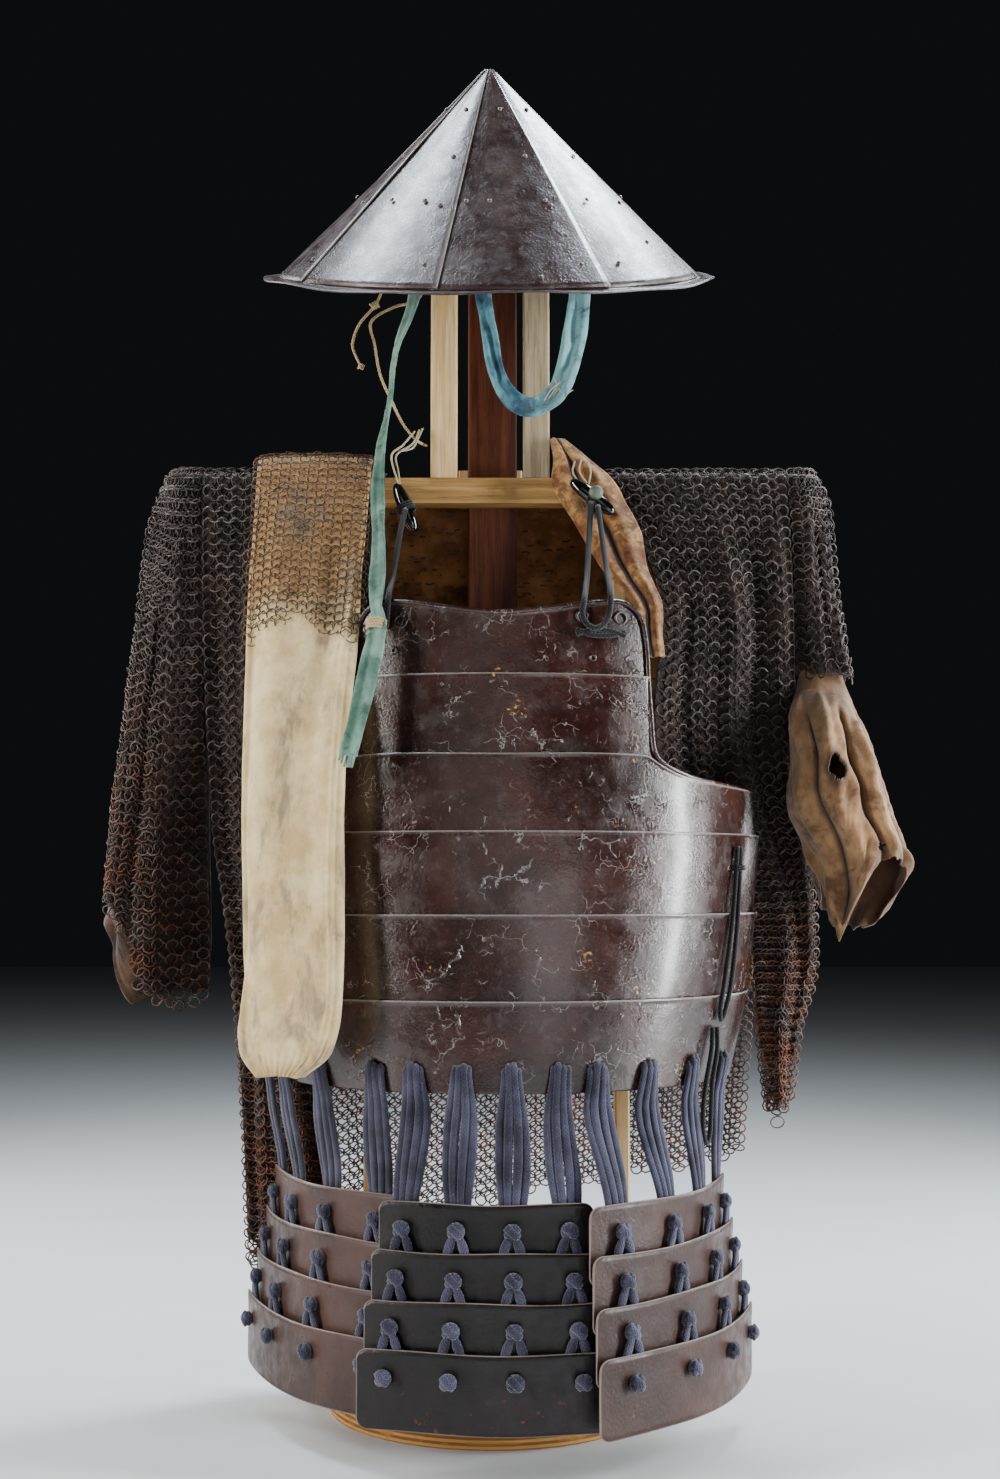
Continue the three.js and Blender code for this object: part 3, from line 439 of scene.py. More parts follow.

# crackled lacquer: flakes curl along the cracks, which are grey and painted paler as a highlight on the
# curled flakes, and a few specks of gold are left; a pale line along each plate's top edge is a painted
# highlight
chestLook = {
    "base": "#230f0c",
    "stains": [(70, 6, 0.65, 0.35, 0.68, 1, "#3a1f1a"), (26, 6, 0.7, 0.5, 0.72, 0.3, "#565150"),
               (5, 4, 0.7, 0.55, 0.72, 0.2, "#6d615e")],
    "bend": (60.0, 0.03),  # scale and reach of the cracks' wander
    "cracks": 34.0, "hairs": 58.0,  # cells to the metre
    "crackWidth": (0.018, 0.006), "curlWidth": (0.05, 0.01), "hairWidth": (0.02, 0.006),
    "crackWhere": (42, 3, 0.55, 0.56, 0.64), "hairWhere": (28, 3, 0.55, 0.54, 0.6),
    "crackGreyAndHighlight": (0.55, "#a19995"), "gold": (1, "#b58b42"),
    "goldSpecks": (3.4, 3, 0.55, 0.58, 0.63), "goldWhere": (44, 2, 0.55, 0.68, 0.71),
    "edge": (0.6, "#b0a6a0"), "dull": (20, 5, 0.55, 0.02, 1.6),
    "grain": (2.2, 0.3), "curl": 1.5, "dents": (60, 2.0)}


def crackle(tree):
    look = chestLook
    where = place(tree)
    scale, reach = look["bend"]
    bend = node(tree, "TexNoise", {"Vector": where, "Scale": scale, "Detail": 3.0}).outputs[1]
    bent = node(tree, "VectorMath", {0: bend, 1: (reach, reach, reach)}, operation="MULTIPLY").outputs[0]
    moved = node(tree, "VectorMath", {0: where, 1: bent}, operation="ADD").outputs[0]
    coarse, fine = [node(tree, "TexVoronoi", {"Vector": moved, "Scale": look[key]},
                         feature="DISTANCE_TO_EDGE").outputs[0] for key in ("cracks", "hairs")]
    patch = patches(tree, where, look["crackWhere"])
    hair = times(tree, ramp(tree, fine, *look["hairWidth"]), patches(tree, where, look["hairWhere"]))
    crack = times(tree, ramp(tree, coarse, *look["crackWidth"]), patch)
    curl = times(tree, ramp(tree, coarse, *look["curlWidth"]), patch)
    colour = stains(tree, where, look["base"], look["stains"])
    # the crack lines' pale tint is their grey ground and partly a painted highlight
    colour = tinted(tree, colour, combine(tree, "MAXIMUM", crack, hair), *look["crackGreyAndHighlight"])
    specks = times(tree, patches(tree, where, look["goldSpecks"]), patches(tree, where, look["goldWhere"]))
    colour = tinted(tree, colour, specks, *look["gold"])
    grainSize, grainShare = look["grain"]
    height = combine(tree, "ADD", curl, times(tree, noise(tree, where, grainSize, 4), grainShare))
    dentSize, dentDepth = look["dents"]
    dent = bump(tree, noise(tree, where, dentSize, 2), dentDepth)
    # a pale line at each plate's top edge: painted highlight
    return {"Base_Color": tinted(tree, colour, value(tree, "edge"), *look["edge"]),
            "Roughness": patches(tree, where, look["dull"]),
            "Normal": bump(tree, height, look["curl"], dent)}


cuirassLacquer = finish("crackled dark lacquer", crackle, Coat_Weight=0.4, Coat_Roughness=0.16)

# skirt plates: dull lacquer with a pale rim along every edge that is a painted highlight, and rust low on
# each plate; the centre panel's darker copy is painted shade for its dark reflection
skirtLook = {
    "cloud": (80, 4, 0.5, 0.35, 0.7, 1), "rust": (9, 5, 0.7, 0.6, 0.7), "rustTint": (0.55, "#8a4a26"),
    "rustFrom": (0.2, 1.0), "rim": (0.9, 0.3), "edgeHighlightTint": (0.6, "#9a8a82"),
    "dull": (12, 4, 0.55, -0.25, 1.35), "grain": (3, 0.45)}


def skirtLacquer(name, base, light, coat, coatRoughness):
    def build(tree):
        look = skirtLook
        where = place(tree)
        colour = stains(tree, where, base, [(*look["cloud"], light)])
        low = ramp(tree, value(tree, "low"), *look["rustFrom"])
        rust = times(tree, patches(tree, where, look["rust"]), low)
        colour = tinted(tree, colour, rust, *look["rustTint"])
        # pale rim along every edge: painted highlight
        rim = ramp(tree, value(tree, "edge"), *look["rim"])
        size, depth = look["grain"]
        return {"Base_Color": tinted(tree, colour, rim, *look["edgeHighlightTint"]),
                "Roughness": patches(tree, where, look["dull"]),
                "Normal": bump(tree, noise(tree, where, size, 4), depth)}
    return finish(name, build, Specular_IOR_Level=0.3, Coat_Weight=coat, Coat_Roughness=coatRoughness)


sideLacquer = skirtLacquer("mauve-brown lacquer", "#33201a", "#4e362f", 0.12, 0.3)
# the centre panel's copy is painted darker: painted shade for its dark reflection
shadedCentreLacquer = skirtLacquer("skirt lacquer with painted shade", "#0d0808", "#1c1212", 0.15, 0.28)

# iron rings: grey on the shoulders, rusty towards the hem
ringLook = {"rust": (24, 4, 0.55, 0.35, 0.7), "dull": (4, 3, 0.55, -0.4, 1.2)}


def ringIron(name, dark, light, rust, metal):
    def build(tree):
        where = place(tree)
        share = times(tree, patches(tree, where, ringLook["rust"]), value(tree, "rust"))
        colour = mix(tree, ramp(tree, value(tree, "pick"), 0.0, 1.0), dark, light)
        return {"Base_Color": mix(tree, share, colour, rust),
                "Roughness": patches(tree, where, ringLook["dull"])}
    return finish(name, build, Metallic=metal)


mailIron = ringIron("iron rings", "#2e2421", "#5a4f4a", "#6a3d27", 0.4)
sockIron = ringIron("brown iron rings", "#3d2c20", "#6b5138", "#4a2c18", 0.45)

# old cloths: weave, soft crumple and uneven stains; zone names an attribute that another colour follows
clothFacts = {
    "cloud": (26, 6, 0.62, 0.35, 0.68, 1), "blot": (6, 0.68, 0.4), "blotRange": 0.14, "blotShare": 0.7,
    "specks": (1.6, 2, 0.55, 0.66, 0.74, 0.35), "weave": 0.16, "crumple": (9, 1.3)}


def cloth(name, base, light, stain, thread, blotSize=40, blotLow=0.5, zone=None, streak=1.0):
    def build(tree):
        facts = clothFacts
        flat = place(tree, surface=True)
        where = place(tree)
        warp, weft = [wave(tree, flat, thread, way, 0.6) for way in "XY"]
        weave = times(tree, warp, weft)
        colour = stains(tree, where, base, [(*facts["cloud"], light)])
        if zone:
            colour = mix(tree, value(tree, zone[0]), colour, zone[1])
        blots = noise(tree, place(tree, (1, 1, streak)), blotSize, *facts["blot"])
        blots = ramp(tree, blots, blotLow, blotLow + facts["blotRange"])
        colour = tinted(tree, colour, blots, facts["blotShare"], stain)
        colour = stains(tree, where, colour, [(*facts["specks"], stain)])
        size, depth = facts["crumple"]
        soften = bump(tree, noise(tree, where, size, 5, 0.6), depth)
        return {"Base_Color": colour, "Roughness": 0.92,
                "Normal": bump(tree, weave, facts["weave"], soften)}
    return finish(name, build, Sheen_Weight=0.35, Sheen_Roughness=0.5, Specular_IOR_Level=0.2)


# the lining is a real cloth, its near-black colour partly painted shade seen through the rings
lining = cloth("dark brown lining", "#1c120d", "#33231a", "#0e0907", 1.3)
insideCloth = cloth("rust-brown lining", "#6b4628", "#9a6d43", "#2c190e", 1.3)
# the torn cloth's dark zone colour is painted shade, carried by the cuff's dark attribute
tornCloth = cloth("torn tan cloth", "#7f5c3d", "#ad855d", "#4a2c19", 1.1, 30, zone=("dark", "#41291a"))
cuffCloth = cloth("brown cuff cloth", "#2f1f16", "#523827", "#1a100a", 1.1)
# the collar's dark zone colour is painted shade in its fold troughs
collarCloth = cloth("mottled collar cloth", "#7a5029", "#b98d57", "#4a1707", 1.1, 11, 0.43,
                    zone=("dark", "#3a2112"))
sockCotton = cloth("stained cream cotton", "#ccac76", "#e8d09c", "#857662", 0.9, 30,
                   zone=("tan", "#a9773f"), streak=0.4)
teal = cloth("faded blue strap cloth", "#1f4a60", "#5f97a4", "#14283c", 0.8, 24, zone=("pale", "#86b7b9"))
sage = cloth("green strap cloth", "#4b6f60", "#7d9f8d", "#26443b", 0.9, 22)

# plaited cords: a herringbone of threads with faded patches and pale fluff; their grooves are darkened as
# painted shade
plaitLook = {"fade": (30, 5, 0.55, 0.3, 0.72, 1), "groove": (0.7, 0.2), "grooveShadeTint": (0.55, "#14141c"),
             "fluff": (1.4, 3, 0.55, 0.6, 0.8, 0.5), "depth": 0.4}


def braid(name, dark, light, pitch, pale):
    def build(tree):
        look = plaitLook
        where = place(tree)
        ways = [place(tree, (turn, 1, 1), True) for turn in (1, -1)]
        plait = combine(tree, "MAXIMUM", *[wave(tree, way, pitch, "DIAGONAL", 0.2) for way in ways])
        colour = stains(tree, where, dark, [(*look["fade"], light)])
        # darker grooves between the threads: painted shade
        colour = tinted(tree, colour, ramp(tree, plait, *look["groove"]), *look["grooveShadeTint"])
        colour = stains(tree, where, colour, [(*look["fluff"], pale)])
        return {"Base_Color": colour, "Roughness": 0.9, "Normal": bump(tree, plait, look["depth"])}
    return finish(name, build, Sheen_Weight=0.3, Specular_IOR_Level=0.2)


indigo = braid("faded indigo braid", "#222131", "#4e4c63", 1.5, "#7b7990")
blackCord = braid("black round braid", "#030404", "#0a0c0b", 1.6, "#141716")
twine = braid("tan twine", "#a1855a", "#cbb183", 1.4, "#e6d8b4")
thread = braid("off-white thread", "#b5a684", "#d9cfb2", 1.0, "#efe8d2")

# woods: grain along each piece, old marks and dirt
grainLook = {"streak": (9, 6, 0.6, 0.6), "streakRange": (0.35, 0.66), "fine": (1.6, 3, 0.6),
             "fineRange": (0.52, 0.66), "fineShare": 0.45, "dirt": (34, 5, 0.6, 0.56, 0.72, 0.4)}
alongPost, alongBeam = (1, 1, 0.05), (0.05, 1, 1)


def wood(name, dark, light, line, stretch):
    def build(tree):
        look = grainLook
        where = place(tree, stretch)
        streak = noise(tree, where, *look["streak"])
        fine = noise(tree, where, *look["fine"])
        colour = mix(tree, ramp(tree, streak, *look["streakRange"]), dark, light)
        colour = tinted(tree, colour, ramp(tree, fine, *look["fineRange"]), look["fineShare"], line)
        colour = stains(tree, place(tree), colour, [(*look["dirt"], line)])
        return {"Base_Color": colour, "Roughness": 0.6, "Normal": bump(tree, fine, 0.12)}
    return finish(name, build, Specular_IOR_Level=0.3)


pine = wood("dry pine", "#c8a06a", "#e2c596", "#9b7748", alongPost)
greyPine = wood("grey weathered pine", "#8b7a5f", "#b5a384", "#5a4c3a", alongPost)
oldPine = wood("aged pine", "#9a733f", "#c49c62", "#5f4122", alongBeam)
redwood = wood("reddish post wood", "#4c2317", "#74402a", "#2a120b", alongPost)

plyLook = {"ply": 0.0024, "wobble": 0.0008, "edge": (0.0009, 0.0016), "glue": "#8a5a2a", "core": "#d29a55",
           "face": "#b5803f", "veneer": (0.06, 1, 1)}  # lengths in metres


def layers(tree):  # plies by height, and the face veneer's grain on top
    look = plyLook
    where = place(tree)
    height = node(tree, "SeparateXYZ", {0: where}).outputs[2]
    wobble = times(tree, noise(tree, where, 40, 2), look["wobble"])
    ply = combine(tree, "PINGPONG", combine(tree, "ADD", height, wobble), look["ply"])
    face = noise(tree, place(tree, look["veneer"]), 8, 5, 0.6)
    colour = mix(tree, ramp(tree, ply, *look["edge"]), look["glue"], look["core"])
    colour = mix(tree, ramp(tree, face, 0.5, 0.7), colour, look["face"])
    return {"Base_Color": colour, "Roughness": 0.6, "Normal": bump(tree, face, 0.15)}


def plain(name, colour, roughness, **more):
    return finish(name, lambda tree: {"Base_Color": colour, "Roughness": roughness}, **more)


plywood = finish("plywood", layers, Specular_IOR_Level=0.3)
horn = plain("polished black horn", "#070708", 0.12, Coat_Weight=0.8)  # the toggles
stone = plain("grey-green boss", "#5d655c", 0.5)  # the right toggle's stopper
rivetIron = plain("rivet iron", "#6e625c", 0.35, Metallic=0.5)
paleFloor = plain("pale floor", "#d9dadb", 0.8)

print("materials ready", flush=True)


# camera and light

eye = {"place": (0.007, -1.7, 0.452), "up": 4.46, "lens": 68.0, "sensor": 36}


def camera():
    lens = bpy.data.cameras.new("camera")
    lens.sensor_fit = "HORIZONTAL"
    lens.sensor_width = eye["sensor"]
    lens.lens = eye["lens"]
    obj = bpy.data.objects.new("camera", lens)
    obj.location = eye["place"]
    obj.rotation_euler = (math.radians(90 + eye["up"]), 0, 0)
    bpy.context.collection.objects.link(obj)
    bpy.context.scene.camera = obj


def lamp(name, place, aim, size, power, colour):
    light = bpy.data.lights.new(name, "AREA")
    light.shape = "RECTANGLE"
    light.size, light.size_y = size
    light.energy = power
    light.color = colour
    obj = bpy.data.objects.new(name, light)
    obj.location = place
    way = np.array(aim) - np.array(place)
    flat = math.hypot(way[0], way[1])
    obj.rotation_euler = (math.atan2(flat, -way[2]), 0, math.atan2(way[1], way[0]) - pi / 2)
    bpy.context.collection.objects.link(obj)


# name, place, aim, size, power and colour of each light, in metres and watts
sky, dayWarm, dayCool = (0.76, 0.89, 1.0), (1.0, 0.98, 0.94), (0.94, 0.975, 1.0)
lights = [
    ("over left", (-0.74, 0.05, 2.35), (-0.05, -0.05, 1.08), (0.5, 0.45), 34, sky),
    ("over right", (0.76, 0.5, 2.25), (0.05, -0.05, 1.08), (0.5, 0.45), 50, sky),
    ("left key", (-1.72, -0.9, 0.95), (0, -0.05, 0.6), (0.25, 1.5), 44, dayWarm),
    ("right key", (1.85, -0.55, 0.8), (0, -0.05, 0.55), (0.2, 1.5), 72, dayCool),
    ("left rim", (-1.4, 0.9, 1.1), (0, 0, 0.6), (0.5, 1.3), 20, (1.0, 0.98, 0.95)),
    ("right rim", (1.4, 0.8, 1.0), (0, 0, 0.6), (0.5, 1.3), 22, (0.95, 0.98, 1.0)),
    ("front fill", (-0.3, -2.6, 1.3), (0, 0, 0.6), (1.6, 1.2), 4.5, (1.0, 0.97, 0.93)),
    ("low front", (0.7, -2.0, 0.5), (0.05, 0, 0.25), (0.8, 0.6), 4, (0.98, 0.99, 1.0))]
room = {"left": -4.5, "right": 4.5, "front": -2.4, "back": 9.0, "air": (0.006, 0.0065, 0.007, 1)}


def studio():
    corners = [(room[x], room[y], 0) for x, y in (
        ("left", "front"), ("right", "front"), ("right", "back"), ("left", "back"))]
    mesh = bpy.data.meshes.new("floor")
    mesh.from_pydata(corners, [], [(0, 1, 2, 3)])
    mesh.materials.append(paleFloor)
    floor = bpy.data.objects.new("floor", mesh)
    bpy.context.collection.objects.link(floor)
    for light in lights:
        lamp(*light)
    world = bpy.data.worlds.new("studio")
    world.use_nodes = True
    shade = world.node_tree.nodes["Background"]
    shade.inputs[0].default_value = room["air"]
    shade.inputs[1].default_value = 1.0
    bpy.context.scene.world = world


# cuirass surface, which the cords and laces lie on

cuirass = {"shift": 8, "wing": 83, "lap": 3.4, "overlap": 9, "bottom": 290, "wall": 1.8, "dip": 11,
           "beaten": 0.25, "roll": 0.9, "pale": (1.6, 0.4), "neck": (70, 35, 0, -35, -70)}
plan = table("z half depth", [
    (695, 200, 148), (623, 204, 160), (563, 216, 173), (497, 226, 186), (432, 223, 195), (366, 215, 201),
    (280, 199, 204)])
chest = table("z half", [(689, 98), (684, 110), (672, 118), (650, 121), (600, 124), (550, 128)])
armhole = table("x z", [(0, 560), (122, 560), (134, 553), (150, 545), (180, 539), (226, 535)])
seams = [689, 627, 560, 497, 430, 362]


def cuirassPoint(angle, z, out):  # an ellipse at each height, moved out along its normal
    half, depth = column(plan, "half", z), column(plan, "depth", z)
    s, c = np.sin(angle), np.cos(angle)
    normal = unit(stack(s / half, -c / depth, 0))
    return stack(cuirass["shift"] + half * s, -depth * c, z) + normal * np.asarray(out)[..., None]


# cords

# diameter, material and slot of each kind of cord
cordKinds = {"toggle": (5, blackCord, "black_cord"), "side": (4, blackCord, "black_cord"),
             "twine": (2.5, twine, "tan_twine")}
# kind, steps, far end and route; a side cord's route is an angle, a height and a distance out
cords = {
    "toggle_cord_left": ("toggle", 40, "object", [
        (-77, -44, 786), (-80, -62, 765), (-84, -104, 718), (-86, -139, 694), (-87, -140, 680),
        (-88, -140, 667)]),
    "toggle_cord_right": ("toggle", 90, "object", [
        (87, -56, 790), (85, -72, 762), (81, -110, 716), (77, -149, 690), (75, -153, 677),
        (78, -154, 669), (84, -154, 665), (91, -151, 667), (97, -147, 676), (99, -143, 694),
        (98, -104, 722), (95, -74, 762), (93, -60, 786)]),
    "side_cord_high": ("side", 80, "object", [
        (60.6, 486, 7.2), (60, 462, 7.6), (60.2, 420, 7.4), (59.8, 372, 7.4), (58.6, 350, 7.4),
        (57.2, 341, 7.4), (56, 349, 7.4), (56.4, 372, 7.4), (57.6, 420, 7.4), (58.2, 462, 7.6),
        (59, 486, 7.2)]),
    "side_cord_low": ("side", 60, "object", [
        (56, 336, 6.6), (56.4, 318, 9), (56.4, 290, 9), (56.4, 262, 9), (55.8, 248, 9), (54.4, 241, 9),
        (53, 250, 9), (52.8, 266, 9), (53.4, 290, 9), (53.8, 318, 9), (54, 336, 6.6)]),
    "twine_free": ("twine", 60, "bare", [
        (-92, -52, 1066), (-94, -54, 1030), (-97, -56, 985), (-104, -57, 967), (-118, -56, 950),
        (-124, -55, 932), (-121, -55, 922), (-116, -56, 912)]),
    "twine_held": ("twine", 80, "object", [
        (-52, -30, 1080), (-56, -42, 1010), (-66, -50, 975), (-88, -54, 966), (-108, -50, 954),
        (-105, -46, 935), (-100, -44, 908), (-90, -42, 885), (-80, -32, 866), (-68, -14, 855),
        (-60, -4, 853)])}


def onCuirass(rows):
    angle, z, out = np.array(rows, float).T
    return cuirassPoint(np.radians(angle), z, out)


def cord(name, kind, steps, farEnd, route):
    diameter, material, slot = cordKinds[kind]
    path = smooth(onCuirass(route) if kind == "side" else route, steps)
    fit = np.linalg.svd(np.gradient(path, axis=0), full_matrices=False)[2][2]
    obj = bands(name, path[None], np.broadcast_to(fit, path.shape)[None], diameter / 2, diameter / 2, 10,
                material, slot, (name,))
    print("cord", name, round(curveLength(path)), "mm", flush=True)


camera()
for name, facts in cords.items():
    cord(name, *facts)
studio()
print("camera, cords and light ready", flush=True)


# stand: the frame's own timbers, with their woods

def stand():
    woods = {"upright_left": pine, "upright_right": pine, "waist_rail": pine, "head_post_left": pine,
             "head_post_right": greyPine, "head_batten": pine, "yoke_beam": oldPine, "centre_post": redwood,
             "base_disc": plywood}
    for name, wood in woods.items():
        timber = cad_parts[name]
        timber.data.materials.clear()
        timber.data.materials.append(wood)


# hat: eight plates lapped round a cone, a turned-out flange, rivets

hat = {"radius": 190, "height": 178, "tilt": 22, "centre": (-3, -10, 1010), "wall": 1.2, "plates": 8,
       "first": -59.4, "lap": 1.05, "over": 1.5, "hollow": 2.2, "dents": 0.5, "tip": 2,
       "edge": (0.955, 0.985)}
brim = {"width": 15, "under": 3, "wall": 1.4, "waves": (1.2, 0.8), "droop": 1.5, "bend": (0.1, 0.5)}
rivet = {"size": (2.1, 2.1, 1.3), "down": (0.2, 0.42, 0.64, 0.9), "aside": 3.2, "stray": [
    (-9, 0.62), (-27, 0.62), (24, 0.62), (14, 0.95), (40, 0.9), (62, 0.82)]}


def hatPoint(angle, radius, out):  # angle from the front, radius down the cone, out along its normal
    tilt = math.radians(hat["tilt"])
    slope = math.atan2(hat["height"], hat["radius"])
    rise = hat["height"] * (1 - radius / hat["radius"]) + out * math.cos(slope)
    reach = radius + out * math.sin(slope)
    side, ahead = reach * np.sin(angle), reach * np.cos(angle)
    back = -ahead * math.cos(tilt) - rise * math.sin(tilt)
    return np.array(hat["centre"]) + stack(side, back, rise * math.cos(tilt) - ahead * math.sin(tilt))


def buildHat():
    count, down, around = hat["plates"], 40, 26
    span = 2 * pi / count
    u, v = grid(around, down)
    pieces = []
    for k in range(count):
        # each plate's later edge lies over the next one, and it is beaten a little hollow
        angle = math.radians(hat["first"]) + span * (k + u * hat["lap"] - 0.01)
        radius = hat["tip"] + (hat["radius"] - hat["tip"]) * v
        hollow = -hat["hollow"] * np.sin(pi * np.clip(u, 0, 1)) * np.sin(pi * v)
        dents = hat["dents"] * ripple(u * 3 + k, v * 4, 2.0, 11 + k)
        out = 0.3 + hat["over"] * u + (hollow + dents) * soft(v, 0, 0.3)
        pieces.append(hatPoint(angle, radius, out))
    start = (np.arange(count) * down * around)[:, None, None]
    faces = (quads(down, around) + start).reshape(-1, 4)
    # pale later edge of each plate: a painted highlight at the seam
    seamHighlight = soft(np.broadcast_to(u, (count, down, around)), *hat["edge"])
    plates = makeMesh("hat_plates", np.array(pieces).reshape(-1, 3), faces, hatLacquer, "hat_lacquer",
                      ("hat",), values={"edge": seamHighlight})
    thicken(plates, hat["wall"])


def buildBrim():
    u, v = grid(241, 12)
    u, v = u[:, :-1], v[:, :-1]
    angle = 2 * pi * u
    tilt = math.radians(hat["tilt"])
    longWave, shortWave = brim["waves"]
    wave = longWave * np.sin(5 * angle + 1) + shortWave * np.sin(11 * angle)
    radius = hat["radius"] - brim["under"] + (brim["width"] + brim["under"]) * v
    down = hat["height"] * (radius / hat["radius"] - 1) * soft(v, *brim["bend"])
    lift = np.array([0, -math.sin(tilt), math.cos(tilt)])
    points = hatPoint(angle, radius, 0) + lift * (down + (wave - brim["droop"]) * v)[..., None]
    shell("hat_flange", points, brim["wall"], hatLacquer, "hat_lacquer", (), loop=True)


def rivets():
    spots = []
    for k in range(hat["plates"]):
        seam = hat["first"] + 360 / hat["plates"] * k
        spots += [(seam - rivet["aside"] / share, share) for share in rivet["down"]]
        spots.append((seam + 15, 0.62))
    angle, share = np.array(spots + rivet["stray"]).T
    spot = lambda turn, out: hatPoint(np.radians(angle + turn), hat["radius"] * share, out)
    centre = spot(0, 1.6)
    domes("hat_rivets", centre, unit(spot(1, 1.6) - centre), unit(spot(0, 3.0) - centre), rivet["size"],
          rivetIron, "hat_lacquer")


# Round heads: half-ellipsoids with their middle at centre, out along `out`.
def domes(name, centre, across, out, size, material, slot, full=False, around=10, up=5):
    third = np.cross(out, across)
    low = -pi / 2 if full else -0.2
    tilt = np.linspace(low + (0.02 if full else 0), pi / 2 - 0.02, up)
    turn = np.linspace(0, 2 * pi, around, endpoint=False)
    size = np.broadcast_to(np.asarray(size, float), (len(centre), 3))[:, None, None]
    ring = np.cos(tilt)[:, None, None]
    points = (centre[:, None, None]
              + ring * np.cos(turn)[:, None] * across[:, None, None] * size[..., :1]
              + ring * np.sin(turn)[:, None] * third[:, None, None] * size[..., 1:2]
              + np.sin(tilt)[:, None, None] * out[:, None, None] * size[..., 2:])
    faces = closedTubes(len(centre), up, around)
    pick = np.repeat(rng.random(len(centre)), around * up)
    uv = np.tile(np.stack(np.meshgrid(turn * 6, tilt * 8), -1).reshape(-1, 2), (len(centre), 1))
    return makeMesh(name, points.reshape(-1, 3), faces, material, slot, (), uv, {"pick": pick})


# cuirass: six lapped plates, a rolled rim round neck and armholes, eyelets

def buildCuirass():
    wing = math.radians(cuirass["wing"])
    for i, top in enumerate(seams):
        low = cuirass["bottom"] if i == 5 else seams[i + 1] - cuirass["overlap"]
        narrow = i < 2
        u, v = grid(61 if narrow else 121, 50)
        level = low + (top - low) * v
        turn = np.arcsin(column(chest, "half", level) / column(plan, "half", level)) if narrow else wing
        angle = (2 * u - 1) * turn
        edge = np.full_like(u, top)
        if i == 0:
            edge -= cuirass["dip"] * np.cos((2 * u - 1) * 0.5 * pi) ** 2
        if i == 2:
            edge = column(armhole, "z", np.abs(np.sin(angle)) * 226, "x")
        z = low + (edge - low) * v
        lap = 0.6 if i == 0 else cuirass["lap"] * v
        beaten = cuirass["beaten"] * ripple(u * 5, v * 2 + i, 1.6, 31 + i)
        rolled = cuirass["roll"] * soft(v, 0.95, 1)  # the top edge turns out to a thin bright line
        # edge: closeness to the plate's top edge, where the pale line is a painted highlight
        shell(f"cuirass_{i + 1}", cuirassPoint(angle, z, lap + beaten + rolled), cuirass["wall"],
              cuirassLacquer, "cuirass_lacquer", (f"cuirass_plate_{i + 1}",),
              values={"edge": soft(edge - z, *cuirass["pale"])})


def rim():
    side = np.array([
        (226, 535), (200, 536.5), (180, 539), (160, 542.5), (146, 547), (134, 553), (126, 562),
        (123.5, 590), (122, 620), (121, 650), (118, 672), (113, 682), (104, 688.5), (94, 690)])
    dip = lambda x: cuirass["dip"] * math.cos(x / 98 * 0.5 * pi) ** 2
    neck = np.array([(x, 689.5 - dip(x)) for x in cuirass["neck"]])
    route = np.vstack([side, neck, side[::-1] * (-1, 1)])
    most = math.sin(math.radians(82))
    angle = np.arcsin(np.clip(route[:, 0] / column(plan, "half", route[:, 1]), -most, most))
    near, far = cuirassPoint(angle, route[:, 1], 2.2), cuirassPoint(angle, route[:, 1], 9.0)
    path, across = smooth(near, 260), smooth(far - near, 260)
    bands("cuirass_rim", path[None], across[None], 2.6, 2.2, 8, cuirassLacquer, "cuirass_lacquer")


eyelet = {"large": 5.0, "small": 2.4, "wire": 1.3, "out": 2.0, "spots": [
    (67, 676), (99, 676), (-83, 672), (-88, 648), (75, 641), (-108, 600), (104, 597), (-100, 596)]}


def eyelets():  # the large ones are along the top
    x, z = np.array(eyelet["spots"], float).T
    angle = np.arcsin(x / column(plan, "half", z))
    centre = cuirassPoint(angle, z, eyelet["out"])
    across = unit(cuirassPoint(angle + 0.02, z, eyelet["out"]) - centre)
    down = np.broadcast_to([0.0, 0.0, -1.0], centre.shape)
    radius = np.where(z > 660, eyelet["large"], eyelet["small"])
    rings("cuirass_eyelets", centre, across, down, 0.0, radius, eyelet["wire"], cuirassLacquer,
          "cuirass_lacquer", parts=20, sides=6)


stand()
buildHat()
buildBrim()
rivets()
buildCuirass()
rim()
eyelets()
print("stand, hat and cuirass ready", flush=True)


# skirt: twelve plates hung on paired braids from the cuirass, with knots and strands of the same braid

lame = {"height": 60, "pitch": 36, "top": 209, "flare": 6.5, "widen": 2.5, "corner": 8, "wall": 1.5,
        "knot": 20,
        "hammered": 0.35, "lip": 0.6, "bent": 0.7}
panels = {
    "left": {"left": (-190, -8), "right": (-67, -191), "bulge": 26, "look": sideLacquer},
    "centre": {"left": (-87, -206), "right": (79, -220), "bulge": 15, "look": shadedCentreLacquer},
    "right": {"left": (75, -243), "right": (197, -60), "bulge": 26, "look": sideLacquer}}
columns = np.array([0.12, 0.375, 0.63, 0.885])


def lameTop(i):
    return lame["top"] - i * lame["pitch"]


def lamePoint(panel, i, along, z, out):  # a chord with a parabola's bulge, flaring out plate by plate
    a, b = np.array([*panel["left"], 0.0]), np.array([*panel["right"], 0.0])
    chord = b - a
    across = chord / np.linalg.norm(chord)
    away = np.array([across[1], -across[0], 0])
    side = 2 * along - 1
    tilt = np.arctan(-4 * panel["bulge"] * side / np.linalg.norm(chord))
    normal = away * np.cos(tilt)[..., None] - across * np.sin(tilt)[..., None]
    flat = (a + chord * along[..., None] + across * (side * i * lame["widen"])[..., None]
            + away * (panel["bulge"] * (1 - side ** 2))[..., None]
            + normal * (out + i * lame["flare"])[..., None])
    return flat + stack(0, 0, z)


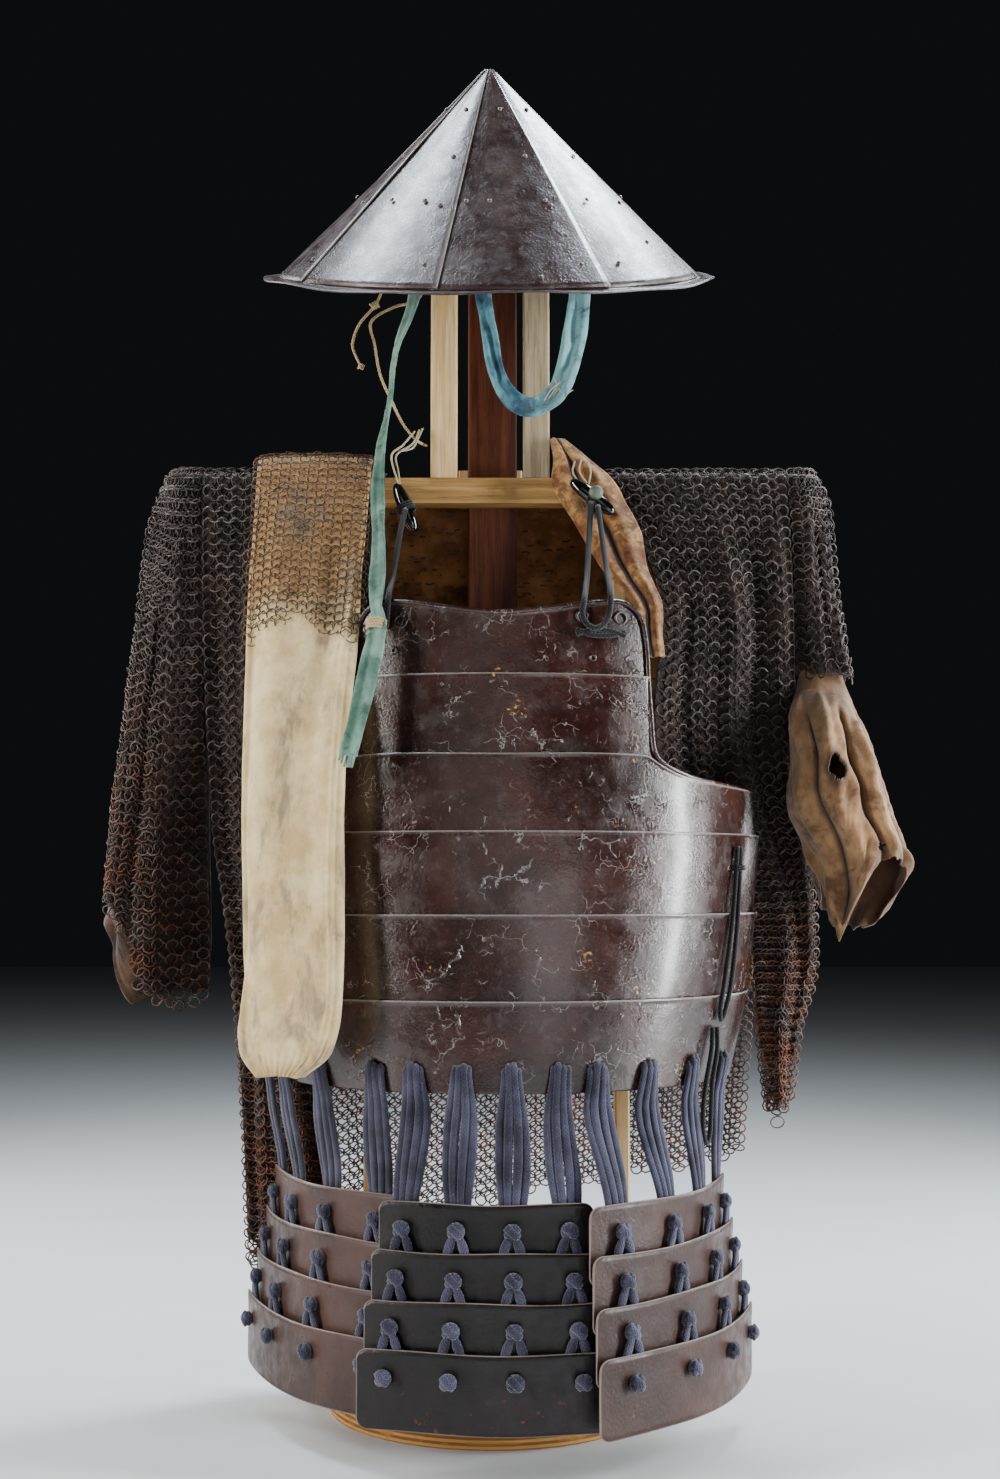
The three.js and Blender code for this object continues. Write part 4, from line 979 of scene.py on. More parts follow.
def lamePlate(name, panel, i):
    length = math.dist(panel["left"], panel["right"])
    u, v = grid(81, 15)
    along = (1 - np.cos(pi * u)) / 2
    near = np.minimum(along, 1 - along) * length
    short = lame["corner"] - np.minimum(near, lame["corner"])
    loss = lame["corner"] - np.sqrt(lame["corner"] ** 2 - short ** 2)
    high, low = lameTop(i) - loss, lameTop(i) - lame["height"] + loss
    z = low + (high - low) * v
    # hammered iron isn't quite straight: long waves, and a top edge that leans out a little
    wave = lame["hammered"] * ripple(along * 4 + i, v, 1.5, 50 + i) + lame["lip"] * soft(v, 0.75, 1)
    points = lamePoint(panel, i, along, z + lame["bent"] * np.sin(9 * along + 2 * i), wave)
    edge = np.minimum(np.minimum(v, 1 - v) * (high - low), near)
    name = f"lame_{name}_{i + 1}"
    shell(name + "_plate", points, lame["wall"], panel["look"], "skirt_lacquer", (name,),
          values={"edge": edge, "low": 1 - v})


hanger = {"ribs": (-9.8, -3.6, 3.6, 9.8), "half": 3.2, "top": 313, "under": 8, "back": -3.5, "lean": 2.0}
strand = {"spread": 2.2, "open": 4.6, "stand": 3.4, "width": (2.6, 3.9, 3.8), "depth": 2.3}
knot = {"size": (6.8, 6.6, 4.4), "uneven": 0.07, "arm": (4.4, 4.0), "proud": 3.4, "band": 3.5}


# Each braid goes up, over the cuirass's edge and into a hole, and down again. Both legs are folded
# lengthwise into two ribs, and all of them are drawn together at the hole.
def hangers(name, panel):
    routes, acrosses, widths = [], [], []
    t = np.linspace(0, 1, 24)
    rise, curl = np.minimum(t / 0.9, 1), soft(t, 0.88, 1)
    low = lameTop(0) - hanger["under"]
    back = np.array([hanger["back"]])
    for k, along in enumerate(columns):
        foot = lamePoint(panel, 0, np.array([along]), 0, back)[0]
        way = unit(lamePoint(panel, 0, np.array([along + 0.01]), 0, back)[0] - foot)
        angle = math.atan2(foot[0] - cuirass["shift"], -foot[1])
        lean = hanger["lean"] * math.sin(k * 1.9 + along * 5)
        front = np.array([math.sin(angle), -math.cos(angle), 0])
        for rib, half in enumerate(hanger["ribs"]):
            inner = abs(half) < 5
            pull = 1 - 0.42 * soft(rise, 0.55, 1) - 0.2 * soft(rise, 0.3, 0)
            x = half * pull + lean * np.sin(pi * rise) + 0.7 * np.sin(rise * 6 + rib * 1.3 + k)
            top = hanger["top"] - 2.5 * (not inner) + 1.2 * math.sin(k * 2.3 + rib * 2)
            z = low + (top - low) * rise - 5 * curl
            ahead = 4.6 + 1.6 * inner - 4.5 * curl
            high = cuirassPoint(angle + x / 215, z, ahead)
            hung = foot + np.outer(x, way) + stack(0, 0, z) + np.outer(1.4 * inner + 0 * x, front)
            share = soft(z, low, 285)[:, None]
            routes.append(hung * (1 - share) + high * share)
            acrosses.append(np.broadcast_to(way, (len(t), 3)))
            widths.append(hanger["half"] + 0.5 * np.sin(pi * rise) - 0.7 * curl)
    nodes = [f"lace_{name}_{k + 1}" for k in range(4)]
    bands(f"hangers_{name}", routes, acrosses, np.array(widths), 2.5, 10, indigo, "indigo_braid", nodes)


def strands(name, panel):
    routes, acrosses, widths, heads, outs = [], [], [], [], []
    t = np.linspace(0, 1, 12)
    for i in range(4):
        high = lameTop(i) - lame["knot"]
        for k, along in enumerate(columns):
            spot = lambda place, z, out: lamePoint(panel, i, np.array([place]), z, np.array([out]))[0]
            middle = spot(along, high, 2.0)
            away = unit(spot(along, high, 6.0) - middle)
            heads.append(middle + away * 2.2)
            outs.append(away)
            if i == 3:
                continue
            level = unit((spot(along + 0.01, 0, 2.0) - middle) * (1, 1, 0))
            for side in (-1, 1):
                loose = 0.5 * math.sin(3 * i + k + side)
                spread = side * (strand["spread"] + strand["open"] * np.sin(t * 1.9) + loose)
                stand = strand["stand"] + np.sin(pi * t) - 2.6 * t
                fall = high - 4 - (lame["pitch"] - lame["knot"] + 5) * t
                routes.append(middle * (1, 1, 0) + np.outer(spread, level) + np.outer(stand, away)
                              + stack(0, 0, fall))
                acrosses.append(np.broadcast_to(level, (len(t), 3)))
                widths.append(np.interp(t, [0, 0.3, 1], strand["width"]))
    bands(f"strands_{name}", routes, acrosses, np.array(widths), strand["depth"], 10, indigo,
          "indigo_braid")
    knots(name, np.array(heads), np.array(outs))


def knots(name, heads, outs):  # a round head each, and the braid that crosses itself on its face
    level = unit(np.cross(outs, (0.0, 0.0, 1.0)))
    uneven = 1 + knot["uneven"] * np.sin(np.arange(len(heads)) * 2.4)
    domes(f"knots_{name}", heads, level, outs, np.outer(uneven, knot["size"]), indigo, "indigo_braid",
          full=True, around=16, up=9)
    bend = np.linspace(-1, 1, 9)
    wide, tall = knot["arm"]
    crossed, over = [], []
    for head, out, side in zip(heads, outs, level):
        up = np.cross(out, side)
        for lay, slope in enumerate((1, -1)):
            arm = np.outer(bend * wide, side) + np.outer(slope * bend * tall, up)
            crossed.append(head + arm + np.outer(knot["proud"] + 0.8 * lay - 2.4 * bend ** 2, out))
            over.append(np.broadcast_to(unit(side - slope * up), (9, 3)))
    bands(f"crossings_{name}", crossed, over, knot["band"], 1.9, 8, indigo, "indigo_braid")


for name, panel in panels.items():
    for i in range(4):
        lamePlate(name, panel, i)
    hangers(name, panel)
    strands(name, panel)
print("skirt ready", flush=True)


# mail jacket: lining cloth with overlapping rings on its face; the lining's near-black colour is partly
# painted shade of the hollow jacket seen through the rings

mailSize = {"pitch": 10.4, "row": 5.3, "radius": 5.6, "wire": 0.82, "lift": 1.3, "cloth": 1.0, "gap": 0.4}
shoulder, foldEnd = 828, 814
turnOver = [(828, 0.6), (826.8, 8), (823, 14.5), (814, 17)]  # height, and distance from the beam's middle
panelNames, sideNames = "z seamX seamY edgeX edgeY drop", "z x open outer depth"


def overShoulder(seam, edges, way):  # a body panel's first rows, way is 1 behind and -1 in front
    return [(z, seam, way * y, edge, way * y, 0) for (z, y), edge in zip(turnOver, edges)]


def sideShoulder(seam, outers):  # a sleeve's first rows
    return [(z, seam, y, *last) for (z, y), last in zip(turnOver, zip(outers, (0.5, 6, 13, 17)))]


backRows = table(panelNames, overShoulder(-262, (268, 268, 268, 268), 1) + [
    (780, -261, 24, 268, 24, 0), (700, -259, 30, 270, 22, 0), (600, -256, 22, 273, 20, 0),
    (500, -251, 7, 270, 28, 0), (430, -240, 4, 258, 42, -10), (350, -230, 4, 244, 62, -40),
    (250, -223, 12, 238, 70, -60), (110, -216, 17, 230, 78, -88)])
leftRows = table(panelNames, overShoulder(-262, (-96, -96, -97, -97), -1) + [
    (780, -261, -24, -99, -26, 0), (700, -259, -30, -103, -50, 0), (600, -256, -22, -108, -60, 0),
    (540, -253, -10, -110, -62, 0), (500, -251, -7, -112, -62, 0), (430, -240, -4, -122, -58, 0),
    (350, -230, -1, -135, -48, 0), (250, -223, 7, -142, -20, 0), (110, -216, 12, -150, 2, 0)])
rightRows = table(panelNames, overShoulder(268, (98, 98, 100, 104), -1) + [
    (780, 268, -24, 124, -26, 0), (700, 270, -22, 148, -46, 0), (600, 275, -2, 142, -52, 0),
    (540, 281, 2, 150, -48, 0), (480, 287, 4, 196, -20, 0), (430, 290, 4, 229, 2, 0),
    (378, 290, 4, 234, 0, 0), (330, 275, 2, 237, -2, 0), (250, 262, 0, 247, -2, 4)])
leftSide = table(sideNames, sideShoulder(-262, (-284, -289, -293, -297)) + [
    (780, -261, 24, -305, 21), (700, -259, 30, -314, 27), (600, -257, 22, -326, 32),
    (540, -255, 10, -334, 34), (500, -254, 7, -337, 34), (440, -252, 4, -345, 34),
    (420, -251, 2, -346, 33), (330, -251, 2, -344, 30)])
rightSide = table(sideNames, sideShoulder(268, (286, 290, 293, 297)) + [
    (780, 269, 24, 301, 20), (720, 271, 20, 306, 24), (660, 273, 6, 315, 27), (635, 274, 2, 323, 28)])
leftMouth = table("u mail cuff", [
    (0, 346, 378), (0.15, 345, 360), (0.25, 400, 352), (0.5, 458, 426), (0.8, 410, 384), (1, 380, 398)])


drape = {"swellOver": 200, "neckOver": 130, "neckSharp": 6, "neckDrop": 0.35}
tube = {"gap": 0.6, "flat": 0.8, "open": 0.7}


def levels(low, count):  # heights from the shoulder fold down, close together where it turns over
    fold = np.array([828, 827.8, 827.3, 826.4, 824.8, 822.3, 818.5, foldEnd])
    return np.r_[fold, np.linspace(foldEnd, low, count - len(fold) + 1)[1:]]


def bodyPanel(rows, bow, across, neck=0.0, forward=1.0, down=170):
    low = rows["z"].min()
    u, z = np.meshgrid(np.linspace(0, 1, across), levels(low, down))
    below = shoulder - z
    x = column(rows, "seamX", z) * (1 - u) + column(rows, "edgeX", z) * u
    swell = bow * np.sin(pi * u) * np.minimum(1, below / drape["swellOver"])
    opening = np.sin(pi * u) ** drape["neckSharp"] * np.maximum(0, 1 - below / drape["neckOver"])
    share = u ** forward
    y = column(rows, "seamY", z) * (1 - share) + column(rows, "edgeY", z) * share
    fall = column(rows, "drop", z) * u + neck * drape["neckDrop"] * opening
    return stack(x, y + swell + neck * opening, z - fall), u, below / (shoulder - low)


def sleeveTube(side, u, z, inset):  # a flattened tube that opens along its inner edge
    seam, opened = column(side, "x", z), column(side, "open", z)
    reach = column(side, "outer", z) - seam
    full = column(side, "depth", z) - tube["open"] * opened
    angle = pi * u
    x = seam + np.sign(reach) * tube["gap"] + reach * np.maximum(np.sin(angle), 0) ** tube["flat"]
    points = stack(x, -opened * np.cos(angle) - full * np.sin(2 * angle), z)
    return points + unit(stack(seam + reach / 2, 0, z) - points) * inset


def sleevePoints(side, mouth, across, down):
    u = grid(across, down)[0]
    fold = levels(0, down)[:, None]
    low = mouth(u)
    z = np.where(fold > foldEnd, fold, low + (foldEnd - low) * fold / foldEnd)
    return sleeveTube(side, u, z, 0.0), u, (shoulder - z) / (shoulder - low)


def draped(points, normals, u, v, rows, seed, crumple=0.5):
    push = folds(u, v, rows) + crumple * ripple(u * 9, v * 12, 1.3, seed)
    return points + normals * (push * soft(v, 0.01, 0.08))[..., None]


# reach says how far down the lining goes, hem how ragged the last rings are
def mailPanel(name, made, away, fall, seed, hem, reach=1.0, rust=None, split=False, inner=None):
    points, u, v = made
    normals = facing(points, away)
    points = draped(points, normals, u, v, fall, seed)
    keep = v < reach + 0.012 * (ripple(u * 30, u * 0, 1.0, seed + 5) - 1)
    wall = mailSize["cloth"] / (2 if inner else 1)
    behind = points - normals * (mailSize["gap"] + wall / 2)
    back = shell(name + "_lining", behind, wall, lining, "mail", (name,), keep=keep)
    if inner:  # another cloth on the inner face
        behind = points - normals * (mailSize["gap"] + wall * 1.6)
        shell(name + "_inner", behind, wall, inner, "mail", keep=keep)
    for low, high, mark in [(0, 0.5, "_a"), (0.5, 1.01, "_b")] if split else [(0, 1.01, "")]:
        def show(a, b):
            row = sample(v[..., None], a * (v.shape[1] - 1), b * (v.shape[0] - 1))[..., 0]
            ragged = hem * (0.5 + 0.5 * np.sin(a * 23 + seed) * np.sin(a * 57 + 2))
            return (row < 0.999 - ragged) & (a >= low) & (a < high)

        mailOn(name + "_rings" + mark, points, away, mailSize, mailIron, "mail", show, rust,
                             seed)
    hang(name, points)


# u, width, depth, lean, start, end of each fold
backFalls = [
    (0.08, 0.03, 5, 0.02, 0.1, 1.1), (0.17, 0.025, -4, 0.05, 0.2, 1.1),
    (0.29, 0.04, 5, -0.04, 0.15, 1.1), (0.41, 0.03, -5, 0.02, 0.35, 1.1),
    (0.52, 0.035, 4, 0.03, 0.45, 1.1), (0.63, 0.03, -4, -0.03, 0.3, 1.1),
    (0.74, 0.045, 6, 0.04, 0.12, 1.1), (0.86, 0.03, -5, -0.02, 0.2, 1.1), (0.94, 0.02, 4, 0, 0.1, 1.1)]
leftFalls = [
    (0.1, 0.05, -4, 0.05, 0.15, 1.1), (0.26, 0.05, 4, -0.06, 0.1, 0.9), (0.85, 0.05, -3, 0, 0.2, 0.8)]
rightFalls = [
    (0.12, 0.06, 5, 0.08, 0.1, 0.8), (0.3, 0.05, -5, 0.1, 0.15, 0.75), (0.48, 0.06, 5, 0.12, 0.1, 0.6),
    (0.5, 0.1, 4, 0, 0.6, 1.1), (0.8, 0.05, -4, 0.04, 0.2, 0.6), (0.2, 0.08, -4, 0, 0.62, 1.1)]
sleeveFalls = [
    (0.12, 0.03, 4, 0.06, 0.15, 1.1), (0.22, 0.025, -8, 0.03, 0.3, 1.1),
    (0.36, 0.04, 5, -0.05, 0.1, 1.1), (0.55, 0.05, -4, 0.05, 0.2, 1.1), (0.72, 0.04, 5, -0.03, 0.2, 1.1),
    (0.86, 0.03, -5, 0, 0.3, 1.1)]


def jacket():
    rust = lambda v: soft(v, 0.35, 0.95)
    mouth = lambda u: column(leftMouth, "mail", u, "u")
    ahead = (0, -1, 0)
    mailPanel("jacket_back", bodyPanel(backRows, 58, 181, 42), (0, 1, 0), backFalls, 3, 0.02, 0.72,
              rust, split=True, inner=insideCloth)
    mailPanel("jacket_front_left", bodyPanel(leftRows, -5, 61, forward=1.8), ahead, leftFalls, 4,
              0.015, 0.97, rust)
    mailPanel("jacket_front_right", bodyPanel(rightRows, -5, 71, forward=1.8), ahead, rightFalls, 5,
              0.03, 0.92, rust)
    mailPanel("jacket_sleeve_left", sleevePoints(leftSide, mouth, 91, 120), (-1, 0, 0), sleeveFalls, 6,
              0.02, 0.98, rust)
    mailPanel("jacket_sleeve_right", sleevePoints(rightSide, lambda u: 635 + 0 * u, 81, 60), (1, 0, 0),
              sleeveFalls, 7, 0.06, 0.97)


leftCuff = {"wall": 1.4, "inset": 6, "above": 40, "ragged": 3, "crumple": 1.2, "turned": 2.2, "folds": [
    (0.2, 0.05, 3, 0.1, -0.1, 1.1), (0.35, 0.03, -4, 0.1, 0.2, 1.1), (0.5, 0.05, 3, -0.1, 0, 1.1),
    (0.7, 0.04, -3, 0, 0, 1.1), (0.85, 0.05, 3, 0.1, 0, 1.1)]}


def buildLeftCuff():  # two turned-back bands with a deep fold between them
    u, v = grid(81, 50)
    u = 0.06 + 0.88 * u
    low = column(leftMouth, "cuff", u, "u") + leftCuff["ragged"] * ripple(u * 20, v, 1.2, 21) * v ** 6
    high = np.maximum(column(leftMouth, "mail", u, "u"), low) + leftCuff["above"]
    points = sleeveTube(leftSide, u, high + (low - high) * v, leftCuff["inset"])
    push = folds(u, v, leftCuff["folds"]) + leftCuff["crumple"] * ripple(u * 12, v * 6, 1.6, 22)
    push = push + leftCuff["turned"] * soft(v, 0.9, 1)
    points = points + facing(points, (-1, 0, 0)) * push[..., None]
    cuff = shell("cuff_left_cloth", points, leftCuff["wall"], cuffCloth, "brown_cloth", ("cuff_left",))
    hang("cuff_left", points)


cuffRows = table("z inner outer y depth", [
    (648, 279, 314, -3, 8), (632, 275, 318, -6, 12), (604, 266, 326, -24, 26), (560, 263, 338, -40, 32),
    (520, 261, 350, -46, 33), (470, 280, 362, -48, 30), (405, 286, 326, -48, 24)])
cuffHem = table("u z", [
    (0, 470), (0.08, 446), (0.16, 412), (0.2, 406), (0.26, 462), (0.36, 484), (0.46, 462), (0.56, 430),
    (0.7, 420), (0.85, 432), (1, 470)])


rightCuff = {"wall": 1.3, "ragged": 7, "deep": 1.15, "crumple": 1.95, "folds": [
    (0.1, 0.02, 4, 0.05, 0.15, 1.1), (0.17, 0.014, -6, 0.06, 0.2, 0.9), (0.23, 0.02, 5, 0.03, 0.1, 1.1),
    (0.31, 0.015, -7, 0.02, 0.25, 1.1), (0.37, 0.02, 5, -0.05, 0.3, 1.1), (0.45, 0.02, -4, -0.04, 0.2, 1.1),
    (0.6, 0.03, 5, 0, 0.2, 1.1), (0.72, 0.03, -5, 0.05, 0.2, 1.1), (0.86, 0.03, 5, 0, 0.2, 1.1)],
    "tear": (297, 7, 553, 12), "hole": (333, 3.4, 487, 4)}  # x and half width, z and half height


def buildRightCuff():  # a torn tube with a hole through its front and a ragged hem, folded up in places
    u, v = grid(161, 110)
    ragged = rightCuff["ragged"] * ripple(u * 46, u * 0, 1.0, 24) * soft(v, 0.75, 1)
    z = 648 + (column(cuffHem, "z", u, "u") + ragged - 648) * v
    inner, outer, depth, middleY = [column(cuffRows, key, z) for key in ("inner", "outer", "depth", "y")]
    angle = 2 * pi * u
    middle, half = (inner + outer) / 2, (outer - inner) / 2
    points = stack(middle - half * np.cos(angle), middleY - depth * np.sin(angle), z)
    normals = facing(points, stack(points[..., 0] - 305, points[..., 1] + 30, 0))
    hemFold = 5 * soft(v, 0.86, 0.93) * (1 - soft(v, 0.95, 1.0)) * (0.6 + 0.4 * np.sin(9 * angle))
    creases = rightCuff["crumple"] * ripple(u * 14, v * 12, 1.7, 25) * soft(v, 0.05, 0.25)
    fold = folds(u, v, rightCuff["folds"])
    push = (fold * rightCuff["deep"] + creases + hemFold) * soft(v, 0.05, 0.2)
    points = points + normals * push[..., None]
    tear, hole = [((points[..., 0] - x) / wide) ** 2 + ((z - level) / tall) ** 2
                  for x, wide, level, tall in (rightCuff["tear"], rightCuff["hole"])]
    tear += 0.35 * ripple(u * 60, v * 50, 1.1, 26)
    front = points[..., 1] < middleY
    keep = ~(((tear < 0.9) | (hole < 0.9)) & front)
    # painted shade: fold troughs, the back half seen through the openings, the hem, round the tear and the
    # top under the sleeve
    shade = np.clip(-fold / 5 - 0.1, 0, 1) + soft(u, 0.5, 0.56) * soft(u, 1.0, 0.94)
    shade = shade + 0.6 * soft(v, 0.88, 1) + soft(tear, 3.2, 0.8) * front + 0.5 * soft(v, 0.3, 0.05)
    dark = 0.9 * np.clip(shade, 0, 1)
    cuff = shell("cuff_right_cloth", points[:, :-1], rightCuff["wall"], tornCloth, "tan_cloth",
                 ("cuff_right",), loop=True, keep=keep, values={"dark": dark[:, :-1]})
    hang("cuff_right", points)


collarRows = table("z low high y", [
    (857, 54, 66, -11), (836, 55, 88, -19), (817, 53, 108, -24), (795, 62, 120, -30), (765, 78, 132, -42),
    (735, 94, 136, -54), (700, 118, 147, -66), (650, 128, 149, -78)])


collar = {"wall": 1.6, "wander": 1.05, "bow": 3, "crumple": 0.8, "folds": [
    (0.2, 0.12, 3.5, 0.05, -0.1, 1.1), (0.48, 0.08, -7, 0.12, 0.05, 1.1), (0.76, 0.12, 4, 0.05, 0.1, 1.1)]}


def buildCollar():  # a folded band down the front edge, with a second fold along its outer side
    u, v = grid(41, 120)
    z = 857 - 207 * v
    low, high = column(collarRows, "low", z), column(collarRows, "high", z)
    x = low + (high - low) * u + collar["wander"] * ripple(v * 14, u, 1.5, 41)
    y = column(collarRows, "y", z) - collar["bow"] * np.sin(pi * u)
    fold = folds(u, v, collar["folds"])
    points = stack(x, y - fold - collar["crumple"] * ripple(u * 5, v * 16, 1.6, 42), z)
    # dark: painted shade in the fold troughs
    band = shell("collar_band", points, collar["wall"], collarCloth, "tan_cloth", ("collar_right",),
                 values={"dark": np.clip(-fold / 5, 0, 1)})
    hang("collar", points)


jacket()
buildLeftCuff()
buildRightCuff()
buildCollar()
print("jacket ready", flush=True)


# sock: a flat cotton tube over the shoulder, mail over its top, its toe puckered

sockRows = table("s x y z width thick turn", [
    (0, -160, 52, 788, 98, 8, 0), (0.05, -160, 38, 816, 100, 8, 0), (0.09, -160, 20, 834, 101, 8, 0),
    (0.13, -160, -2, 839, 101, 8, 0), (0.18, -160, -26, 827, 101, 9, 0), (0.3, -160, -72, 750, 98, 14, 6),
    (0.45, -160, -122, 655, 97, 18, 14), (0.6, -162, -156, 555, 93, 20, 22),
    (0.75, -160, -172, 452, 92, 20, 25), (0.88, -159, -181, 366, 89, 20, 25),
    (0.96, -162, -183, 322, 76, 22, 25), (1, -166, -182, 303, 38, 16, 25)])
sockSize = {"wall": 1.6, "pitch": 8.4, "row": 4.5, "radius": 4.7, "wire": 0.55, "lift": 1.6,
            "pucker": 0.9, "crumple": 0.7, "deep": 2.3}
# u, width, depth, lean, start, end: long soft dents, the leg's seam, and puckers at the toe
sockFalls = [
    (0.17, 0.04, -1.8, 0.05, 0.3, 0.8), (0.31, 0.05, 1.6, -0.06, 0.25, 0.95),
    (0.42, 0.03, -1.5, 0.06, 0.4, 0.9), (0.085, 0.012, 1.3, 0.01, 0.33, 1.1),
    (0.24, 0.06, -2.2, 0.1, 0.55, 0.92), (0.40, 0.02, 2.2, 0.12, 0.85, 1.1),
    (0.44, 0.022, -3.2, 0.1, 0.86, 1.1), (0.66, 0.05, 2, 0, 0.3, 0.9), (0.8, 0.05, -2, 0.05, 0.3, 0.9)]


def sockCentre(s):
    return stack(*[column(sockRows, key, s, "s") for key in "xyz"])


def sock():
    around, along = 120, 220
    u = np.repeat(np.linspace(0, 1, around, endpoint=False)[None], along, 0)
    s = np.repeat(np.linspace(0, 1, along)[:, None], around, 1)
    way = unit(sockCentre(np.minimum(s + 0.01, 1)) - sockCentre(np.maximum(s - 0.01, 0)))
    turn = np.radians(column(sockRows, "turn", s, "s"))
    across = stack(np.cos(turn), -np.sin(turn), 0)
    through = unit(np.cross(across, way))
    angle = 2 * pi * u
    half, deep = column(sockRows, "width", s, "s") / 2, column(sockRows, "thick", s, "s") / 2
    sine = np.sin(angle)
    points = (sockCentre(s) + across * (half * np.cos(angle))[..., None]
              + through * (deep * np.sign(sine) * np.abs(sine) ** 0.7)[..., None])
    normals = facing(points, points - sockCentre(s))
    pucker = sockSize["pucker"] * np.sin(34 * angle) * soft(s, 0.93, 1.0)
    push = sockSize["deep"] * folds(1 - u, s, sockFalls) + pucker
    push = push + sockSize["crumple"] * ripple(u * 10, s * 14, 1.4, 61)
    points = points + normals * push[..., None]
    edge = s + 0.012 * ripple(u * 12, s * 0, 1.0, 62)
    tan = 0.85 * (1 - soft(edge, 0.37, 0.43)) + 0.4 * soft(s, 0.972, 0.995)
    body = shell("sock_cloth", points, sockSize["wall"], sockCotton, "cream_cotton", ("sock",), loop=True,
                 cap=True, values={"tan": tan})
    first, last = round(along * 0.02), round(along * 0.46)
    top = points[first:last]
    front = np.concatenate([top[:, 30:], top[:, :31]], 1)

    def show(a, b):  # the mail ends in a ragged edge that hangs lowest left of the middle
        reach = 0.95 + 0.035 * np.sin(a * 17 + 2.6) + 0.02 * np.sin(a * 47)
        return b < reach

    pieces = mailOn("sock_rings", front, front - sockCentre(s[first:last, :1]), sockSize, sockIron,
                    "cream_cotton", show, None, 63)
    hang("sock", points)


# straps: folded cloth along a route, with creases along it

strapForm = {"uneven": 0.16, "top": 0.86, "widen": 0.3, "crumple": (0.6, 0.3)}


def strapGrid(rows, width, along, across, creases, seed):
    route = np.array([row[:3] for row in rows], float)
    turns = np.array([row[3] if len(row) > 3 else 0.0 for row in rows])
    path = smooth(route, along)
    t = np.linspace(0, 1, along)
    turn = np.radians(np.interp(t, np.linspace(0, 1, len(rows)), turns))
    way = unit(np.gradient(path, axis=0))
    side = unit(np.cross((0.0, -1.0, 0.0), way))
    front = unit(np.cross(way, side))
    over = side * np.cos(turn)[:, None] + front * np.sin(turn)[:, None]
    out = unit(np.cross(way, over))
    u, v = grid(across, along)
    narrow = width * (1 + strapForm["uneven"] * ripple(v * 9, u * 0, 1.3, seed))
    narrow = narrow * (strapForm["top"] + strapForm["widen"] * soft(v, 0.3, 0.8))
    shift = 0.8 * np.sin(5 * v + seed) + 0.5 * np.sin(13 * v)
    push = creases * np.sin(3 * pi * u + shift) * (0.4 + 0.6 * np.sin(9 * v + seed) ** 2)
    least, more = strapForm["crumple"]
    push = push + (least + more * creases) * ripple(u * 4, v * 34, 1.6, seed + 1)
    points = path[:, None] + over[:, None] * ((u - 0.5) * narrow)[..., None]
    return points + out[:, None] * push[..., None], u, v


# the piece's name, then width, steps along and across, creases, seed, wall, look, slot and route, whose
# rows are x, y, z and a turn in degrees
strapTable = {
    "chin_strap": ("chin_strap_cloth", 17, 220, 25, 2.2, 71, 1.2, teal, "blue_cloth", [
        (-9, -58, 1030), (-9, -60, 985), (-2, -60, 940, 25), (4, -60, 906), (18, -60, 881, 20),
        (36, -60, 874), (55, -60, 885, -20), (66, -60, 908), (74, -60, 945), (78, -60, 985),
        (77, -58, 1030)]),
    "long_strap": ("long_strap_cloth", 13, 220, 13, 1.0, 73, 1.0, sage, "green_cloth", [
        (-64, -52, 1030), (-70, -60, 970, 20), (-84, -66, 925, 50), (-90, -68, 875, 70),
        (-98, -66, 835, 50), (-100, -72, 800, 20), (-97, -96, 745, 35), (-96, -136, 690, 20),
        (-94, -156, 665, 60), (-100, -168, 630, 10), (-108, -178, 588, 20), (-117, -186, 548, 30)]),
    "hat_strap_end": ("hat_strap_cloth", 10, 60, 9, 0.6, 75, 1.0, teal, "blue_cloth", [
        (-98, -62, 1020), (-100, -66, 990), (-112, -68, 980), (-124, -64, 990), (-126, -60, 1018)])}


def strap(name, piece, width, along, across, creases, seed, wall, look, slot, route):
    points, u, v = strapGrid(route, width, along, across, creases, seed)
    pale = 0.75 * soft(v, 0.45, 0.62) if name == "chin_strap" else 0.6 + 0 * u
    keep = v < 0.988 + 0.012 * np.sin(u * 40) if name == "long_strap" else None  # a frayed end
    made = shell(piece, points, wall, look, slot, (name,), keep=keep, values={"pale": pale})
    hang(name, points)


# toggles, their boss and threads, ties and knots

toggles = {"toggle_left": ((-86, -32, 812), (-69, -34, 768)),
           "toggle_right": ((70, -40, 813), (108, -46, 782))}
toggleThick = 14
boss = {"at": (92.0, -51, 800), "size": (6.5, 6.5, 4.5)}
looseRing = {"at": (253.0, -4, 244), "down": (0.0, 0.5, -1), "radius": 6.0, "wire": 0.6, "rust": 0.8}
# centre, direction, radius, turns, length, thickness and cord of each tie
ties = {
    "left_toggle_tie": ((-77, -34, 789), (17, -2, -44), 7.6, 3, 7, 1.3, "side"),
    "right_toggle_tie": ((91, -43.5, 796), (38, -6, -31), 7.6, 3, 7, 1.3, "side"),
    "twine_knot_low": ((-116, -56, 912), (0.4, 0, 1), 2.0, 3, 5, 0.9, "twine"),
    "twine_knot_high": ((-104, -57, 967), (1, 0, 0.5), 2.6, 3, 7, 1.1, "twine"),
    "long_strap_tie": ((-95, -154, 668), (0.1, 0.2, 1), 7.5, 4, 9, 1.2, "twine"),
    "high_cord_binding": (onCuirass([(59.6, 468, 7.6)])[0], (0, 0, 1), 4.6, 2, 4, 1.2, "side")}
